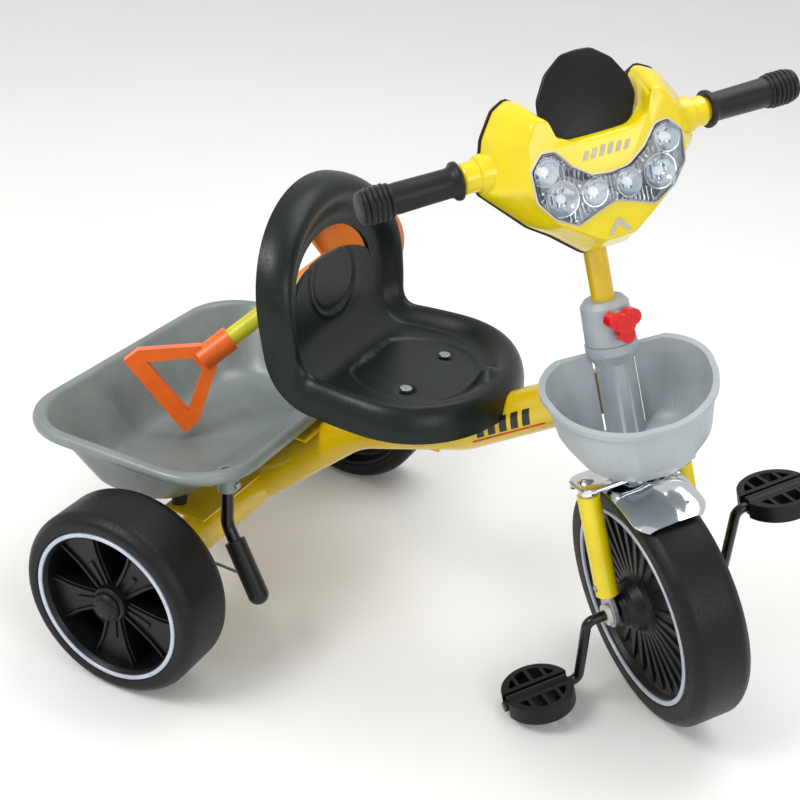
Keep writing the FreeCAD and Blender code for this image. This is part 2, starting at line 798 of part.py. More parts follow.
end_half = num("fork_end_width / 2")
bush_radius = num("crank_diameter / 2 + 3")
ends = []
bushes = []
covers = []
screws = []
for side in (-1, 1):
    y0 = side * leg_y - num("fork_end_thickness / 2")
    plate_wire = closed([
        Vector(end_half, y0, 0), Vector(end_half, y0, 8), Vector(7.5, y0, 20), Vector(7.5, y0, leg_low),
        Vector(-7.5, y0, leg_low), Vector(-7.5, y0, 20), Vector(-end_half, y0, 8), Vector(-end_half, y0, 0),
        (Vector(0, y0, -end_half), Vector(end_half, y0, 0)),
    ])
    plate = slab(plate_wire, Vector(0, num("fork_end_thickness"), 0))
    hole = rod(2 * bush_radius, Vector(0, side * leg_y - 10, 0), Vector(0, side * leg_y + 10, 0))
    ends.append(plate.cut(hole))
    near = side * (leg_y - num("fork_end_thickness / 2") - 1.5)
    far = side * (leg_y + num("fork_end_thickness / 2") + 4)
    step = side * (leg_y + num("fork_end_thickness / 2"))
    inner_lip = rod(2 * bush_radius + 5, Vector(0, near, 0), Vector(0, side * (leg_y - num("fork_end_thickness / 2")), 0))
    outer_lip = rod(2 * bush_radius + 5, Vector(0, step, 0), Vector(0, far, 0))
    barrel_part = rod(2 * bush_radius, Vector(0, near, 0), Vector(0, far, 0))
    shaft_hole = rod(num("crank_diameter + 2 * fit_gap"), Vector(0, near - 5 * side, 0), Vector(0, far + 5 * side, 0))
    bushes.append(joined(barrel_part, inner_lip, outer_lip).cut(shaft_hole))
    low = Vector(0, side * leg_y, num("cover_low"))
    high = Vector(0, side * leg_y, num("cover_high"))
    cover = rod(num("cover_diameter"), low, high)
    bore = rod(num("leg_diameter + 2 * slip_gap"), low - Vector(0, 0, 1), high + Vector(0, 0, 1))
    screw_z = num("cover_low + 9")
    outside = side * (leg_y + num("cover_diameter / 2"))
    screw_hole = rod(3.4, Vector(0, side * leg_y, screw_z), Vector(0, outside + 5 * side, screw_z))
    spot = rod(7, Vector(0, outside - side * 1.2, screw_z), Vector(0, outside + side * 4, screw_z))
    covers.append(cover.cut(bore).cut([screw_hole, spot]))
    shank = rod(3, Vector(0, side * (leg_y + num("fork_end_thickness / 2")), screw_z), Vector(0, outside - side * 1, screw_z))
    head = rod(6, Vector(0, outside - side * 1.2, screw_z), Vector(0, outside + side * 0.8, screw_z))
    screws.append(joined(shank, head))
feature("fork_ends", Part.makeCompound(ends), fork())
feature("fork_bushes", Part.makeCompound(bushes), fork())
feature("leg_covers", Part.makeCompound(covers), fork())
feature("leg_screws", Part.makeCompound(screws), fork())


# ---------------------------------------------------------------- front basket, collar and knob

def basket_outline(level_z, length, half, back_half, shift):
    """Plan of the basket: flat back, bulging sides, round front. x is measured from the axis."""
    back = shift - 3
    front = shift + length - 3
    waist = shift + length * 0.42
    return closed([
        Vector(back, -back_half, level_z),
        (Vector(back + 0.16 * length, -half * 0.94, level_z), Vector(waist, -half, level_z)),
        (Vector(front - 0.14 * length, -half * 0.66, level_z), Vector(front, -half * 0.2, level_z)),
        Vector(front, half * 0.2, level_z),
        (Vector(front - 0.14 * length, half * 0.66, level_z), Vector(waist, half, level_z)),
        (Vector(back + 0.16 * length, half * 0.94, level_z), Vector(back, back_half, level_z)),
        Vector(back, -back_half, level_z),
    ])


basket_z = num("basket_level")
basket_depth = num("basket_depth")
basket_length = num("basket_length")
basket_side = num("basket_half")
basket_back = num("basket_back_half")
basket_wall = num("basket_wall")
rake_run = math.tan(math.radians(rake))


def axis_shift(level_z):
    """Forward place of the steering axis at a height, in the upright frame."""
    return -level_z * rake_run


def bowl(inset, drop):
    levels = [
        (basket_z + (1 if drop else 0), 1.0), (basket_z - 0.55 * basket_depth, 0.9),
        (basket_z - 0.86 * basket_depth, 0.74), (basket_z - basket_depth + drop, 0.52),
    ]
    pieces = []
    for (high, wide), (low, narrow) in zip(levels, levels[1:]):
        wires = []
        for height, share in ((high, wide), (low, narrow)):
            shift = axis_shift(height) + (inset if inset else 0)
            wires.append(basket_outline(height, basket_length * share - 2 * inset, basket_side * share - inset,
                                        basket_back * share - inset, shift))
        pieces.append(Part.makeLoft(wires, True, True))
    return joined(*pieces)


outer_bowl = bowl(0, 0)
inner_bowl = bowl(basket_wall, basket_wall)
lip_outer = basket_outline(basket_z - num("basket_lip"), basket_length + 5, basket_side + 2.5, basket_back + 2, axis_shift(basket_z) - 2.5)
lip = slab(lip_outer, Vector(0, 0, num("basket_lip")))
lip_hole = slab(basket_outline(basket_z - 20, basket_length - 2 * basket_wall, basket_side - basket_wall, basket_back - basket_wall,
                               axis_shift(basket_z) + basket_wall), Vector(0, 0, 40))
lip = lip.cut(lip_hole)


def along_axis(diameter, low, high):
    """Cylinder on the steering axis, drawn in the upright frame."""
    tilt = axis
    return rod(diameter, tilt * low, tilt * high)


column_outer = num("head_diameter + 2 * slip_gap + 2 * column_wall")
column_bore = num("head_diameter + 2 * slip_gap")
ring_low = num("head_low") - 5
neck_top = num("head_joint - gusset_height / 2") - 26
boss_low = num("head_high") - 3
neck = along_axis(44, ring_low + 3, neck_top)
neck_foot = along_axis(38, num("crown_height + crown_thickness"), ring_low + 3)
column = along_axis(column_outer, neck_top - 2, boss_low)
front_half = Part.makeBox(200, 200, 400, Vector(0, -100, 0))
front_half.Placement = Placement(Vector(), level_to_fork)
boss = along_axis(num("collar_diameter + 2"), boss_low, num("collar_low"))
boss_cone = Part.makeCone(column_outer / 2, num("collar_diameter / 2 + 1"), 10, axis * (boss_low - 10), axis).common(front_half)
head_space = along_axis(column_bore, num("head_low - bush_flange - slip_gap"), num("head_high + bush_flange") + 1)
steerer_space = along_axis(num("steerer_diameter + 2 * fit_gap"), 100, 320)
shell = outer_bowl.cut(inner_bowl)
solid_basket = joined(shell, lip, column.common(front_half), neck, neck_foot, boss, boss_cone)
behind_wall = Part.makeBox(196, 200, boss_low - neck_top, Vector(-200, -100, neck_top))
web_slot = Part.makeBox(200, 40, boss_low - neck_top, Vector(-200, -20, neck_top))
for zone in (behind_wall, web_slot):
    zone.Placement = Placement(Vector(), level_to_fork)
solid_basket = solid_basket.cut([head_space, steerer_space, behind_wall, web_slot])
feature("front_basket", solid_basket, level(num("basket_twist")))

collar_body = new_body("stem_collar", fork())
outline = sketch(collar_body, "XZ_Plane")
polygon(outline, [
    ("steerer_diameter / 2", "collar_low"), ("collar_diameter / 2 - 1", "collar_low"),
    ("collar_diameter / 2", "collar_low + 1.5"), ("collar_diameter / 2 - 1", "collar_high - 5"),
    ("collar_diameter / 2 - 5", "collar_high"), ("stem_diameter / 2 + fit_gap", "collar_high"),
    ("stem_diameter / 2 + fit_gap", "steerer_top"), ("steerer_diameter / 2", "steerer_top"),
])
revolve(collar_body, outline)
boss_sketch = sketch(collar_body, "YZ_Plane", "steerer_diameter / 2 + 3")
circle(boss_sketch, 18, 0, "knob_height")
pad(collar_body, boss_sketch, "collar_diameter / 2 - steerer_diameter / 2")
bore_sketch = sketch(collar_body, "YZ_Plane", "steerer_diameter / 2 - 2")
circle(bore_sketch, "stud_diameter + 2 * fit_gap", 0, "knob_height")
pocket(collar_body, bore_sketch, "collar_diameter", reverse=True)

knob_place = fork().multiply(Placement(Vector(num("collar_diameter / 2") + 3.4, 0, num("knob_height")), along_x))
knob = new_body("clamp_knob", knob_place)
outline = sketch(knob, "XY_Plane")
circle(outline, "2 * knob_radius")
pad(knob, outline, "knob_thickness")
lobe_sketch = sketch(knob, "XY_Plane")
circle(lobe_sketch, "2 * knob_lobe", "knob_reach", 0)
lobe = pad(knob, lobe_sketch, "knob_thickness - 1")
knob_star = polar(knob, [lobe], "Z_Axis", "3")
stud_sketch = sketch(knob, "XY_Plane")
circle(stud_sketch, "stud_diameter")
pocket(knob, stud_sketch, "knob_thickness - 4", reverse=True)

stud_start = num("stem_diameter / 2") + 0.3
stud = doc.addObject("Part::Cylinder", "knob_stud")
bind(stud, "Radius", "stud_diameter / 2")
bind(stud, "Height", "collar_diameter / 2 + 3.4 + knob_thickness - 4 - stem_diameter / 2 - 0.3")
keep(stud, "knob_stud", fork().multiply(Placement(Vector(stud_start, 0, num("knob_height")), along_x)))


# ---------------------------------------------------------------- stem, handlebar and grips

bar_level = num("stem_top + bar_rise")
bar_points = [
    Vector(num("bar_forward"), -num("bar_half") + 2, bar_level), Vector(num("bar_forward"), -60, bar_level),
    Vector(0, -18, num("stem_top")), Vector(0, 18, num("stem_top")),
    Vector(num("bar_forward"), 60, bar_level), Vector(num("bar_forward"), num("bar_half") - 2, bar_level),
]
bar_path = run(bar_points, 30)
bar_solid = swept(bar_path, num("bar_diameter"))
bar_hollow = swept(bar_path, num("bar_diameter - 2 * stem_wall"))
feature("handlebar", bar_solid.cut(bar_hollow), fork())
stem_solid = rod(num("stem_diameter"), Vector(0, 0, num("stem_low")), Vector(0, 0, num("stem_top")))
stem_bore = rod(num("stem_diameter - 2 * stem_wall"), Vector(0, 0, num("stem_low") - 1), Vector(0, 0, num("stem_top") - 14))
feature("stem", stem_solid.cut(stem_bore).cut(bar_solid), fork())

grip_inner = "bar_half - grip_length"
grip_bore = "bar_diameter / 2"
for name, side in (("right", -1), ("left", 1)):
    turn = Rotation() if side > 0 else Rotation(Vector(0, 0, 1), 180)
    place = fork().multiply(Placement(Vector(num("bar_forward"), 0, bar_level), turn))
    grip = new_body("grip_" + name, place)
    outline = sketch(grip, "XY_Plane")
    polygon(outline, [
        (grip_bore, grip_inner), ("grip_bulb / 2 + 1", grip_inner), ("grip_bulb / 2 + 1", "bar_half - grip_length + 4"),
        ("grip_diameter / 2", "bar_half - grip_length + 6"), ("grip_diameter / 2", "bar_half - 30"),
        ("grip_bulb / 2", "bar_half - 27"), ("grip_bulb / 2", "bar_half - 3"), ("grip_bulb / 2 - 4", "bar_half + 1"),
        (0, "bar_half + 1"), (0, "bar_half - 2"), (grip_bore, "bar_half - 2"),
    ])
    revolve(grip, outline)
    notch = sketch(grip, "XY_Plane")
    for index in range(5):
        base = "bar_half - 25 + %d" % (index * 5)
        top = "bar_half - 23.2 + %d" % (index * 5)
        polygon(notch, [("grip_bulb / 2 - 1.6", base), ("grip_bulb / 2 + 2", base),
                        ("grip_bulb / 2 + 2", top), ("grip_bulb / 2 - 1.6", top)])
    groove(grip, notch)


# ---------------------------------------------------------------- cowl

def mirrored(points, x, grow=0):
    """Closed outline in a plane of constant x, from its right-hand (y > 0) half, top to bottom."""
    left = [Vector(x, y + grow, z + (grow if z > 430 else -grow)) for y, z in points]
    right = [Vector(x, -v.y, v.z) for v in reversed(left)]
    return Part.makePolygon(left + right + [left[0]])


cowl_edge = [(30, 462), (47, 474), (56, 503), (74, 494), (88, 474), (101, 432), (62, 392), (44, 380), (17, 357)]
cowl_face = [(26, 460), (44, 468), (50, 488), (61, 482), (70, 466), (74, 430), (50, 396), (36, 386), (15, 372)]
cowl_tail = [(24, 470), (38, 476), (44, 488), (58, 482), (70, 468), (80, 434), (52, 404), (36, 392), (15, 378)]
split = num("cowl_split")
face_x = num("cowl_front")
tail_x = num("cowl_back")
cowl_wall = num("cowl_wall")


def shell_of(first, first_x, second, second_x, inward, grow=0):
    """Tapered hollow half shell, open at its first outline."""
    body = loft(mirrored(first, first_x, grow), mirrored(second, second_x))
    core_x = second_x + inward * cowl_wall
    core = loft(mirrored(first, first_x, grow - cowl_wall * 1.3), mirrored(second, core_x, -cowl_wall * 1.6))
    return body.cut(core)


bar_clear = swept(bar_path, num("bar_diameter + 2 * slip_gap"))
stem_clear = rod(num("stem_diameter + 2 * slip_gap"), Vector(0, 0, 340), Vector(0, 0, num("stem_top")))
front_shell = shell_of(cowl_edge, split, cowl_face, face_x, -1)
sleeves = []
for side in (-1, 1):
    sleeve = Part.makeCone(15.5, 13.5, 18, Vector(num("bar_forward"), side * 88, bar_level), Vector(0, side, 0))
    sleeves.append(sleeve)
lens_half = [(0, 428), (17, 430), (33, 441), (46, 457), (58, 458), (69, 446), (68, 420), (55, 403), (36, 392), (17, 399), (0, 404)]


def lens_wire(x, inset):
    centre = 425
    left = []
    for y, z in lens_half:
        left.append(Vector(x, max(0, y - inset * (1 if y > 20 else 0)), z - inset * (1 if z > centre else -1)))
    right = [Vector(x, -v.y, v.z) for v in reversed(left) if v.y > 0.01]
    return Part.makePolygon(left + right + [left[0]])


window = slab(lens_wire(face_x - 20, 1.5), Vector(30, 0, 0))
behind_split = Part.makeBox(60, 400, 300, Vector(split - 60, -200, 300))
sleeve_ring = sleeves[0].fuse(sleeves[1]).cut(behind_split)
front_cowl = joined(front_shell, sleeve_ring).cut([bar_clear, stem_clear, window])
feature("cowl_front", front_cowl, fork())
rear_shell = shell_of(cowl_edge, split, cowl_tail, tail_x, 1, 2)
back_ring = sleeves[0].fuse(sleeves[1]).common(behind_split)
cowl_screws = []
for y, z in ((-58, 428), (58, 428), (-28, 408), (28, 408)):
    cowl_screws.append(Part.makeCylinder(4, 3, Vector(tail_x - 1, y, z), Vector(1, 0, 0)))
feature("cowl_screws", Part.makeCompound(cowl_screws), fork())
feature("cowl_rear", joined(rear_shell, back_ring).cut([bar_clear, stem_clear] + cowl_screws), fork())

tray_x = face_x - 13
tray = slab(lens_wire(tray_x, 2), Vector(11, 0, 0))
tray_well = slab(lens_wire(tray_x + 2, 4), Vector(12, 0, 0))
bulb_places = [(-56, 443), (-44, 415), (-15, 416), (15, 416), (44, 415), (56, 443)]
bulbs = []
for y, z in bulb_places:
    base = Part.makeCylinder(6, 3, Vector(tray_x + 2, y, z), Vector(1, 0, 0))
    globe = Part.makeSphere(4.5, Vector(tray_x + 6, y, z))
    bulbs.append(joined(base, globe))
feature("lamp_reflector", tray.cut(tray_well).cut(bulbs), fork())
feature("lamp_bulbs", Part.makeCompound(bulbs), fork())
feature("lamp_lens", slab(lens_wire(face_x, -2), Vector(num("lens_thickness"), 0, 0)), fork())

# Upright black screen that stands in the notch of the cowl.
screen_half = [(0, 529), (14, 528), (31, 516), (43, 497), (45, 482), (28, 459), (0, 457)]
left = [Vector(0, y, z - 457) for y, z in screen_half]
right = [Vector(0, -v.y, v.z) for v in reversed(left) if v.y > 0.01]
screen = slab(Part.makePolygon(left + right + [left[0]]), Vector(num("screen_thickness"), 0, 0))
screen_place = Placement(Vector(face_x - 14, 0, 457), Rotation(Vector(0, 1, 0), -14))
screen.Placement = screen_place
screen_seat = loft(mirrored(cowl_edge, split), mirrored(cowl_face, face_x))
feature("cowl_screen", screen.cut(screen_seat), fork())


# ---------------------------------------------------------------- seat

seat_x = rear_x + num("seat_x")
seat_z = num("seat_level")
seat_half = num("seat_half")
seat_length = num("seat_length")
wall = num("seat_wall")


def pan_outline(z, inset):
    rear = seat_x + inset
    nose = seat_x + seat_length - inset
    side = seat_half - inset
    return closed([
        Vector(rear, -side * 0.86, z),
        (Vector(rear + seat_length * 0.16, -side * 0.985, z), Vector(rear + seat_length * 0.4, -side, z)),
        (Vector(nose - seat_length * 0.11, -side * 0.66, z), Vector(nose, 0, z)),
        (Vector(nose - seat_length * 0.11, side * 0.66, z), Vector(rear + seat_length * 0.4, side, z)),
        (Vector(rear + seat_length * 0.16, side * 0.985, z), Vector(rear, side * 0.86, z)),
    ])


rim_height = num("seat_rim")
pan = slab(pan_outline(seat_z, 0), Vector(0, 0, rim_height))
pan = pan.cut(slab(pan_outline(seat_z + wall, 13), Vector(0, 0, rim_height)))
nose_x = seat_x + seat_length
pommel = Part.makeCylinder(15, rim_height - 1, Vector(nose_x - 34, 0, seat_z), Vector(0, 0, 1))
recess = Part.makeCylinder(num("seat_bolt_half + 12"), 2.5, Vector(rear_x + num("seat_bolt_x") - 8, 0, seat_z + wall - 2.5))
top_height = num("seat_back_height")


def back_outline(x, inset):
    side = seat_half - inset
    return closed([
        Vector(x, -side * 0.95, 0),
        (Vector(x, -side * 1.03, 72), Vector(x, -side * 0.86, 128)),
        (Vector(x, 0, top_height - inset), Vector(x, side * 0.86, 128)),
        (Vector(x, side * 1.03, 72), Vector(x, side * 0.95, 0)),
    ])


back_panel = slab(back_outline(0, 0), Vector(26, 0, 0))
back_core = slab(back_outline(wall, 13), Vector(30, 0, 0))
handle_foot = top_height - 82
handle = slab(closed([
    Vector(-5, -74, handle_foot), (Vector(-5, 0, top_height - 24), Vector(-5, 74, handle_foot)),
    (Vector(-5, 0, top_height - 52), Vector(-5, -74, handle_foot)),
]), Vector(40, 0, 0))
back = back_panel.cut(back_core).cut(handle)
back.Placement = Placement(Vector(seat_x - 8, 0, seat_z + 2), Rotation(Vector(0, 1, 0), -num("seat_lean")))
bolsters = []
for side in (-1, 1):
    edge_y = side * (seat_half - 3)
    foot_x = seat_x + 84
    bolsters.append(slab(closed([
        Vector(seat_x - 4, edge_y, seat_z + 2), Vector(foot_x, edge_y, seat_z + 2), Vector(foot_x, edge_y, seat_z + rim_height),
        (Vector(seat_x + 22, edge_y, seat_z + rim_height + 26), Vector(seat_x - 6, edge_y, seat_z + 108)),
        Vector(seat_x - 18, edge_y, seat_z + 106),
    ]), Vector(0, -side * 12, 0)))
inside = slab(pan_outline(seat_z + wall, 13), Vector(0, 0, 150))
tube_clear = swept(main_path, num("tube_diameter + 2 * slip_gap"))
seat = joined(pan.cut(recess), pommel, back.cut(inside), *bolsters)
skirt_depth = num("seat_skirt")
skirt = slab(pan_outline(seat_z - skirt_depth, 0), Vector(0, 0, skirt_depth + 1))
skirt = skirt.cut(slab(pan_outline(seat_z - skirt_depth - 1, 10), Vector(0, 0, skirt_depth + 1)))
below = Part.makeBox(600, 600, 100, Vector(-300, -300, seat_z - skirt_depth - 100))
bolt_holes = [rod(6.5, Vector(saddle_x, side * num("seat_bolt_half"), seat_z - 5),
                  Vector(saddle_x, side * num("seat_bolt_half"), seat_z + 30)) for side in (-1, 1)]
feature("seat", seat.fuse(skirt).removeSplitter().cut([below, tube_clear]).cut(bolt_holes))

fasteners = []
for side in (-1, 1):
    foot = Vector(saddle_x, side * num("seat_bolt_half"), plate_top - 3)
    head_z = seat_z + wall - 2.5
    shank = rod(6, foot - Vector(0, 0, 8), Vector(foot.x, foot.y, head_z))
    head = rod(12, Vector(foot.x, foot.y, head_z), Vector(foot.x, foot.y, head_z + 2.2))
    nut = rod(11, foot - Vector(0, 0, 5), foot).cut(rod(6, foot - Vector(0, 0, 6), foot + Vector(0, 0, 1)))
    fasteners.extend([joined(shank, head), nut])
feature("seat_fasteners", Part.makeCompound(fasteners))


# ---------------------------------------------------------------- rear tub and lever

def tub_outline(z, back_x, front_x, half, corner):
    left = rear_x + back_x
    right = rear_x + front_x
    bulge = corner * (1 - math.sqrt(0.5))
    return closed([
        Vector(left + corner, -half, z), Vector(right - corner, -half, z),
        (Vector(right - bulge, -half + bulge, z), Vector(right, -half + corner, z)),
        Vector(right, half - corner, z), (Vector(right - bulge, half - bulge, z), Vector(right - corner, half, z)),
        Vector(left + corner, half, z), (Vector(left + bulge, half - bulge, z), Vector(left, half - corner, z)),
        Vector(left, -half + corner, z), (Vector(left + bulge, -half + bulge, z), Vector(left + corner, -half, z)),
    ])


rim_z = num("tub_rim_level")
floor_z = num("tub_floor_level")
tub_back = num("tub_back")
tub_front = num("tub_front")
tub_half = num("tub_half")
tub_wall = num("tub_wall")
tub_lip = num("tub_lip")
foot_back = tub_back + 44
foot_front = tub_front - 83
foot_half = tub_half - 42
tub_corner = num("tub_corner")
outer_tub = loft(tub_outline(floor_z, foot_back, foot_front, foot_half, tub_corner - 20),
                 tub_outline(rim_z, tub_back, tub_front, tub_half, tub_corner))
inner_tub = loft(
    tub_outline(floor_z + tub_wall, foot_back + tub_wall + 2, foot_front - tub_wall + 1, foot_half - tub_wall + 1,
                tub_corner - 22),
    tub_outline(rim_z + 0.01, tub_back + tub_wall + 1, tub_front - tub_wall - 1, tub_half - tub_wall - 1, tub_corner - 4))
rolled = slab(tub_outline(rim_z - num("tub_lip_height"), tub_back - tub_lip, tub_front + tub_lip, tub_half + 4,
                          tub_corner + 6),
              Vector(0, 0, num("tub_lip_height")))
rolled_hole = slab(tub_outline(rim_z - 40, tub_back + 4, tub_front - 4, tub_half - 4, tub_corner - 4), Vector(0, 0, 60))
tub_parts = [outer_tub.cut(inner_tub), rolled.cut(rolled_hole)]
for side in (-1, 1):
    low = side * num("hinge_half") - 3
    lug = Part.makeBox(24, 6, floor_z + 1 - hinge.z + 9, Vector(hinge.x - 12, low, hinge.z - 9))
    tub_parts.append(lug)
lever_x = rear_x + num("lever_x")
lever_y = -num("lever_y")
socket = rod(num("lever_diameter + 8"), Vector(lever_x, lever_y, rim_z - 26), Vector(lever_x, lever_y, rim_z - 6))
socket_bore = rod(num("lever_diameter"), Vector(lever_x, lever_y, rim_z - 30), Vector(lever_x, lever_y, rim_z - 8))
pin_bore = rod(num("hinge_diameter + 2 * fit_gap"), Vector(hinge.x, -200, hinge.z), Vector(hinge.x, 200, hinge.z))
tub = joined(*tub_parts)
tub = tub.fuse(socket.cut(inner_tub)).removeSplitter().cut([pin_bore, socket_bore.cut(inner_tub)])
feature("rear_tub", tub)

lever_points = [
    Vector(lever_x, lever_y, rim_z - 8), Vector(lever_x, lever_y, rim_z - 66),
    Vector(lever_x + 44, lever_y - 10, rim_z - 128),
]
lever_path = run(lever_points, 26)
lever_rod = swept(lever_path, num("lever_diameter"))
feature("lever_rod", lever_rod.cut(inner_tub))
grip_axis = (lever_points[2] - lever_points[1]).normalize()
grip_start = lever_points[2] - grip_axis * 58
grip_solid = rod(num("lever_grip"), grip_start, lever_points[2]).fuse(
    Part.makeSphere(num("lever_grip / 2"), lever_points[2])).removeSplitter()
feature("lever_grip", grip_solid.cut(lever_rod))
screw_at = Vector(lever_x + num("lever_diameter / 2 + 4"), lever_y, rim_z - 18)
feature("lever_screw", rod(7, screw_at, screw_at + Vector(2.5, 0, 0)))


# ---------------------------------------------------------------- toy shovel

bar_middle = Vector(rear_x - 111, -26, 190)
blade_middle = Vector(rear_x + 34, 122, 346)
shaft_line = (blade_middle - bar_middle).normalize()
across = Vector(-0.596, -0.227, 0.771)
across = (across - shaft_line * across.dot(shaft_line)).normalize()
normal = shaft_line.cross(across)
shovel_place = Placement(bar_middle, Rotation(across, normal, shaft_line, "XYZ"))
shaft_size = num("shovel_shaft")
reach = (blade_middle - bar_middle).Length
blade_half = num("shovel_width / 2")
frame_wire = closed([
    Vector(-52, -8, -9), Vector(52, -8, -9), Vector(52, -8, 10), Vector(14, -8, 66), Vector(-14, -8, 66), Vector(-52, -8, 10)])
window_wire = closed([Vector(-36, -12, 9), Vector(36, -12, 9), Vector(9, -12, 50), Vector(-9, -12, 50)])
handle_frame = slab(frame_wire, Vector(0, 16, 0)).cut(slab(window_wire, Vector(0, 24, 0)))
handle_socket = rod(shaft_size + 8, Vector(0, 0, 56), Vector(0, 0, 96))
shaft_bore = rod(shaft_size, Vector(0, 0, 66), Vector(0, 0, 120))
channel = Part.makeBox(88, 5, 10, Vector(-44, -8, -4))
feature("shovel_handle", joined(handle_frame, handle_socket).cut([shaft_bore, channel]), shovel_place)
shaft_outer = rod(shaft_size, Vector(0, 0, 66), Vector(0, 0, reach - 34))
shaft_inner = rod(shaft_size - 4, Vector(0, 0, 68), Vector(0, 0, reach - 36))
feature("shovel_shaft", shaft_outer.cut(shaft_inner), shovel_place)
blade_wire = closed([
    Vector(-blade_half * 0.8, -5, reach - 30), Vector(blade_half * 0.8, -5, reach - 30), Vector(blade_half, -5, reach - 14),
    Vector(blade_half, -5, reach + 26), (Vector(0, -5, reach + 62), Vector(-blade_half, -5, reach + 26)),
    Vector(-blade_half, -5, reach - 14),
])
blade = slab(blade_wire, Vector(0, 14, 0))
scoop_wire = closed([
    Vector(-blade_half * 0.8 + 3, -2, reach - 27), Vector(blade_half * 0.8 - 3, -2, reach - 27), Vector(blade_half - 3, -2, reach - 13),
    Vector(blade_half - 3, -2, reach + 70), Vector(-blade_half + 3, -2, reach + 70), Vector(-blade_half + 3, -2, reach - 13),
])
blade = blade.cut(slab(scoop_wire, Vector(0, 20, 0)))
blade_socket = rod(shaft_size + 6, Vector(0, 0, reach - 66), Vector(0, 0, reach - 24))
blade_bore = rod(shaft_size, Vector(0, 0, reach - 70), Vector(0, 0, reach - 34))
feature("shovel_blade", joined(blade, blade_socket).cut(blade_bore), shovel_place)


# ---------------------------------------------------------------- checks and export

doc.recompute()
for item in doc.Objects:
    if "Invalid" in item.State or "Error" in item.State:
        raise ValueError(item.Label + " failed to recompute")
os.makedirs("parts", exist_ok=True)
for item in nodes:
    shape = item.Shape
    if shape.isNull() or not shape.isValid():
        raise ValueError(item.Label + " has no valid shape")
for item in nodes:
    item.Shape.exportStep("parts/%s.step" % item.Label)
    box = item.Shape.BoundBox
    print("%-20s %d solids  x %.0f..%.0f  y %.0f..%.0f  z %.1f..%.0f" % (
        item.Label, len(item.Shape.Solids), box.XMin, box.XMax, box.YMin, box.YMax, box.ZMin, box.ZMax))
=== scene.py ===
import bpy
import bmesh
import json
import math
from mathutils import Matrix, Vector


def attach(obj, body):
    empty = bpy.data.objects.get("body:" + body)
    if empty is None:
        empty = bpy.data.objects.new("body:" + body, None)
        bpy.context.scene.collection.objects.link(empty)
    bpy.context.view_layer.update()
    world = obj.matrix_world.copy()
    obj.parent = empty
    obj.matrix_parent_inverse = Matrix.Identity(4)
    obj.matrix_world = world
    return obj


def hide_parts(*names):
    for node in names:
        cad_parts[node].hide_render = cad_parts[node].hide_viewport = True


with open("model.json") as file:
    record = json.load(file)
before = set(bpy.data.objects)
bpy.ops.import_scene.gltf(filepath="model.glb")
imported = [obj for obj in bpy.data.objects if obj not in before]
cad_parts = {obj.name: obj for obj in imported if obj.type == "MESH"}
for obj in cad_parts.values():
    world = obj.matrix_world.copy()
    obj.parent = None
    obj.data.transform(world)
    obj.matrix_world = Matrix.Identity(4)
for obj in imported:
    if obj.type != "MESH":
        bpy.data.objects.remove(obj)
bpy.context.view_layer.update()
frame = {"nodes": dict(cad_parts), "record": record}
nodes = frame["nodes"]
slotOf = {entry["node"]: entry["material_slot"] for entry in frame["record"]["subparts"]}
bodyOf = {n: b for b, members in frame["record"]["behaviour"]["bodies"].items() for n in members}
print("frame loaded:", len(nodes), "nodes")

# Sizes are in millimetres; toMetres turns them to metres in the shared frame.
layout = {"rearX": -196, "wheelbase": 455, "trackHalf": 270, "rake": 19, "steer": -44, "rearRadius": 98,
        "rearWidth": 68, "frontRadius": 125, "frontWidth": 60, "shoulder": 14}


def millimetre(x=0, y=0, z=0):
    return Matrix.Translation((x, y, z))


def turn(degrees, axis):
    return Matrix.Rotation(math.radians(degrees), 4, axis)


def hubHeight():
    lean = math.asin(math.sin(math.radians(-layout["steer"])) * math.sin(math.radians(layout["rake"])))
    core = (layout["frontRadius"] - layout["shoulder"]) * math.cos(lean)
    return core + (layout["frontWidth"] / 2 - layout["shoulder"]) * math.sin(lean) + layout["shoulder"]


steerAxis = Vector((-math.sin(math.radians(layout["rake"])), 0, math.cos(math.radians(layout["rake"]))))
hubPlace = millimetre(layout["rearX"] + layout["wheelbase"], 0, hubHeight())
rearPlace = millimetre(layout["rearX"], 0, 0)
tilt = turn(-layout["rake"], "Y")
forkPlace = hubPlace @ turn(layout["steer"], steerAxis) @ tilt
toMetres = Matrix.Scale(0.001, 4)


# Finishes.
def linear(code):
    parts = [int(code[i:i + 2], 16) / 255 for i in (1, 3, 5)]
    return [p / 12.92 if p <= 0.04045 else ((p + 0.055) / 1.055) ** 2.4 for p in parts] + [1]


def addNode(tree, kind, settings=None, links=None):
    node = tree.nodes.new(kind)
    for key, value in (settings or {}).items():
        if key in node.inputs:
            node.inputs[key].default_value = value
        else:
            setattr(node, key, value)
    for key, source in (links or {}).items():
        tree.links.new(source, node.inputs[key])
    return node


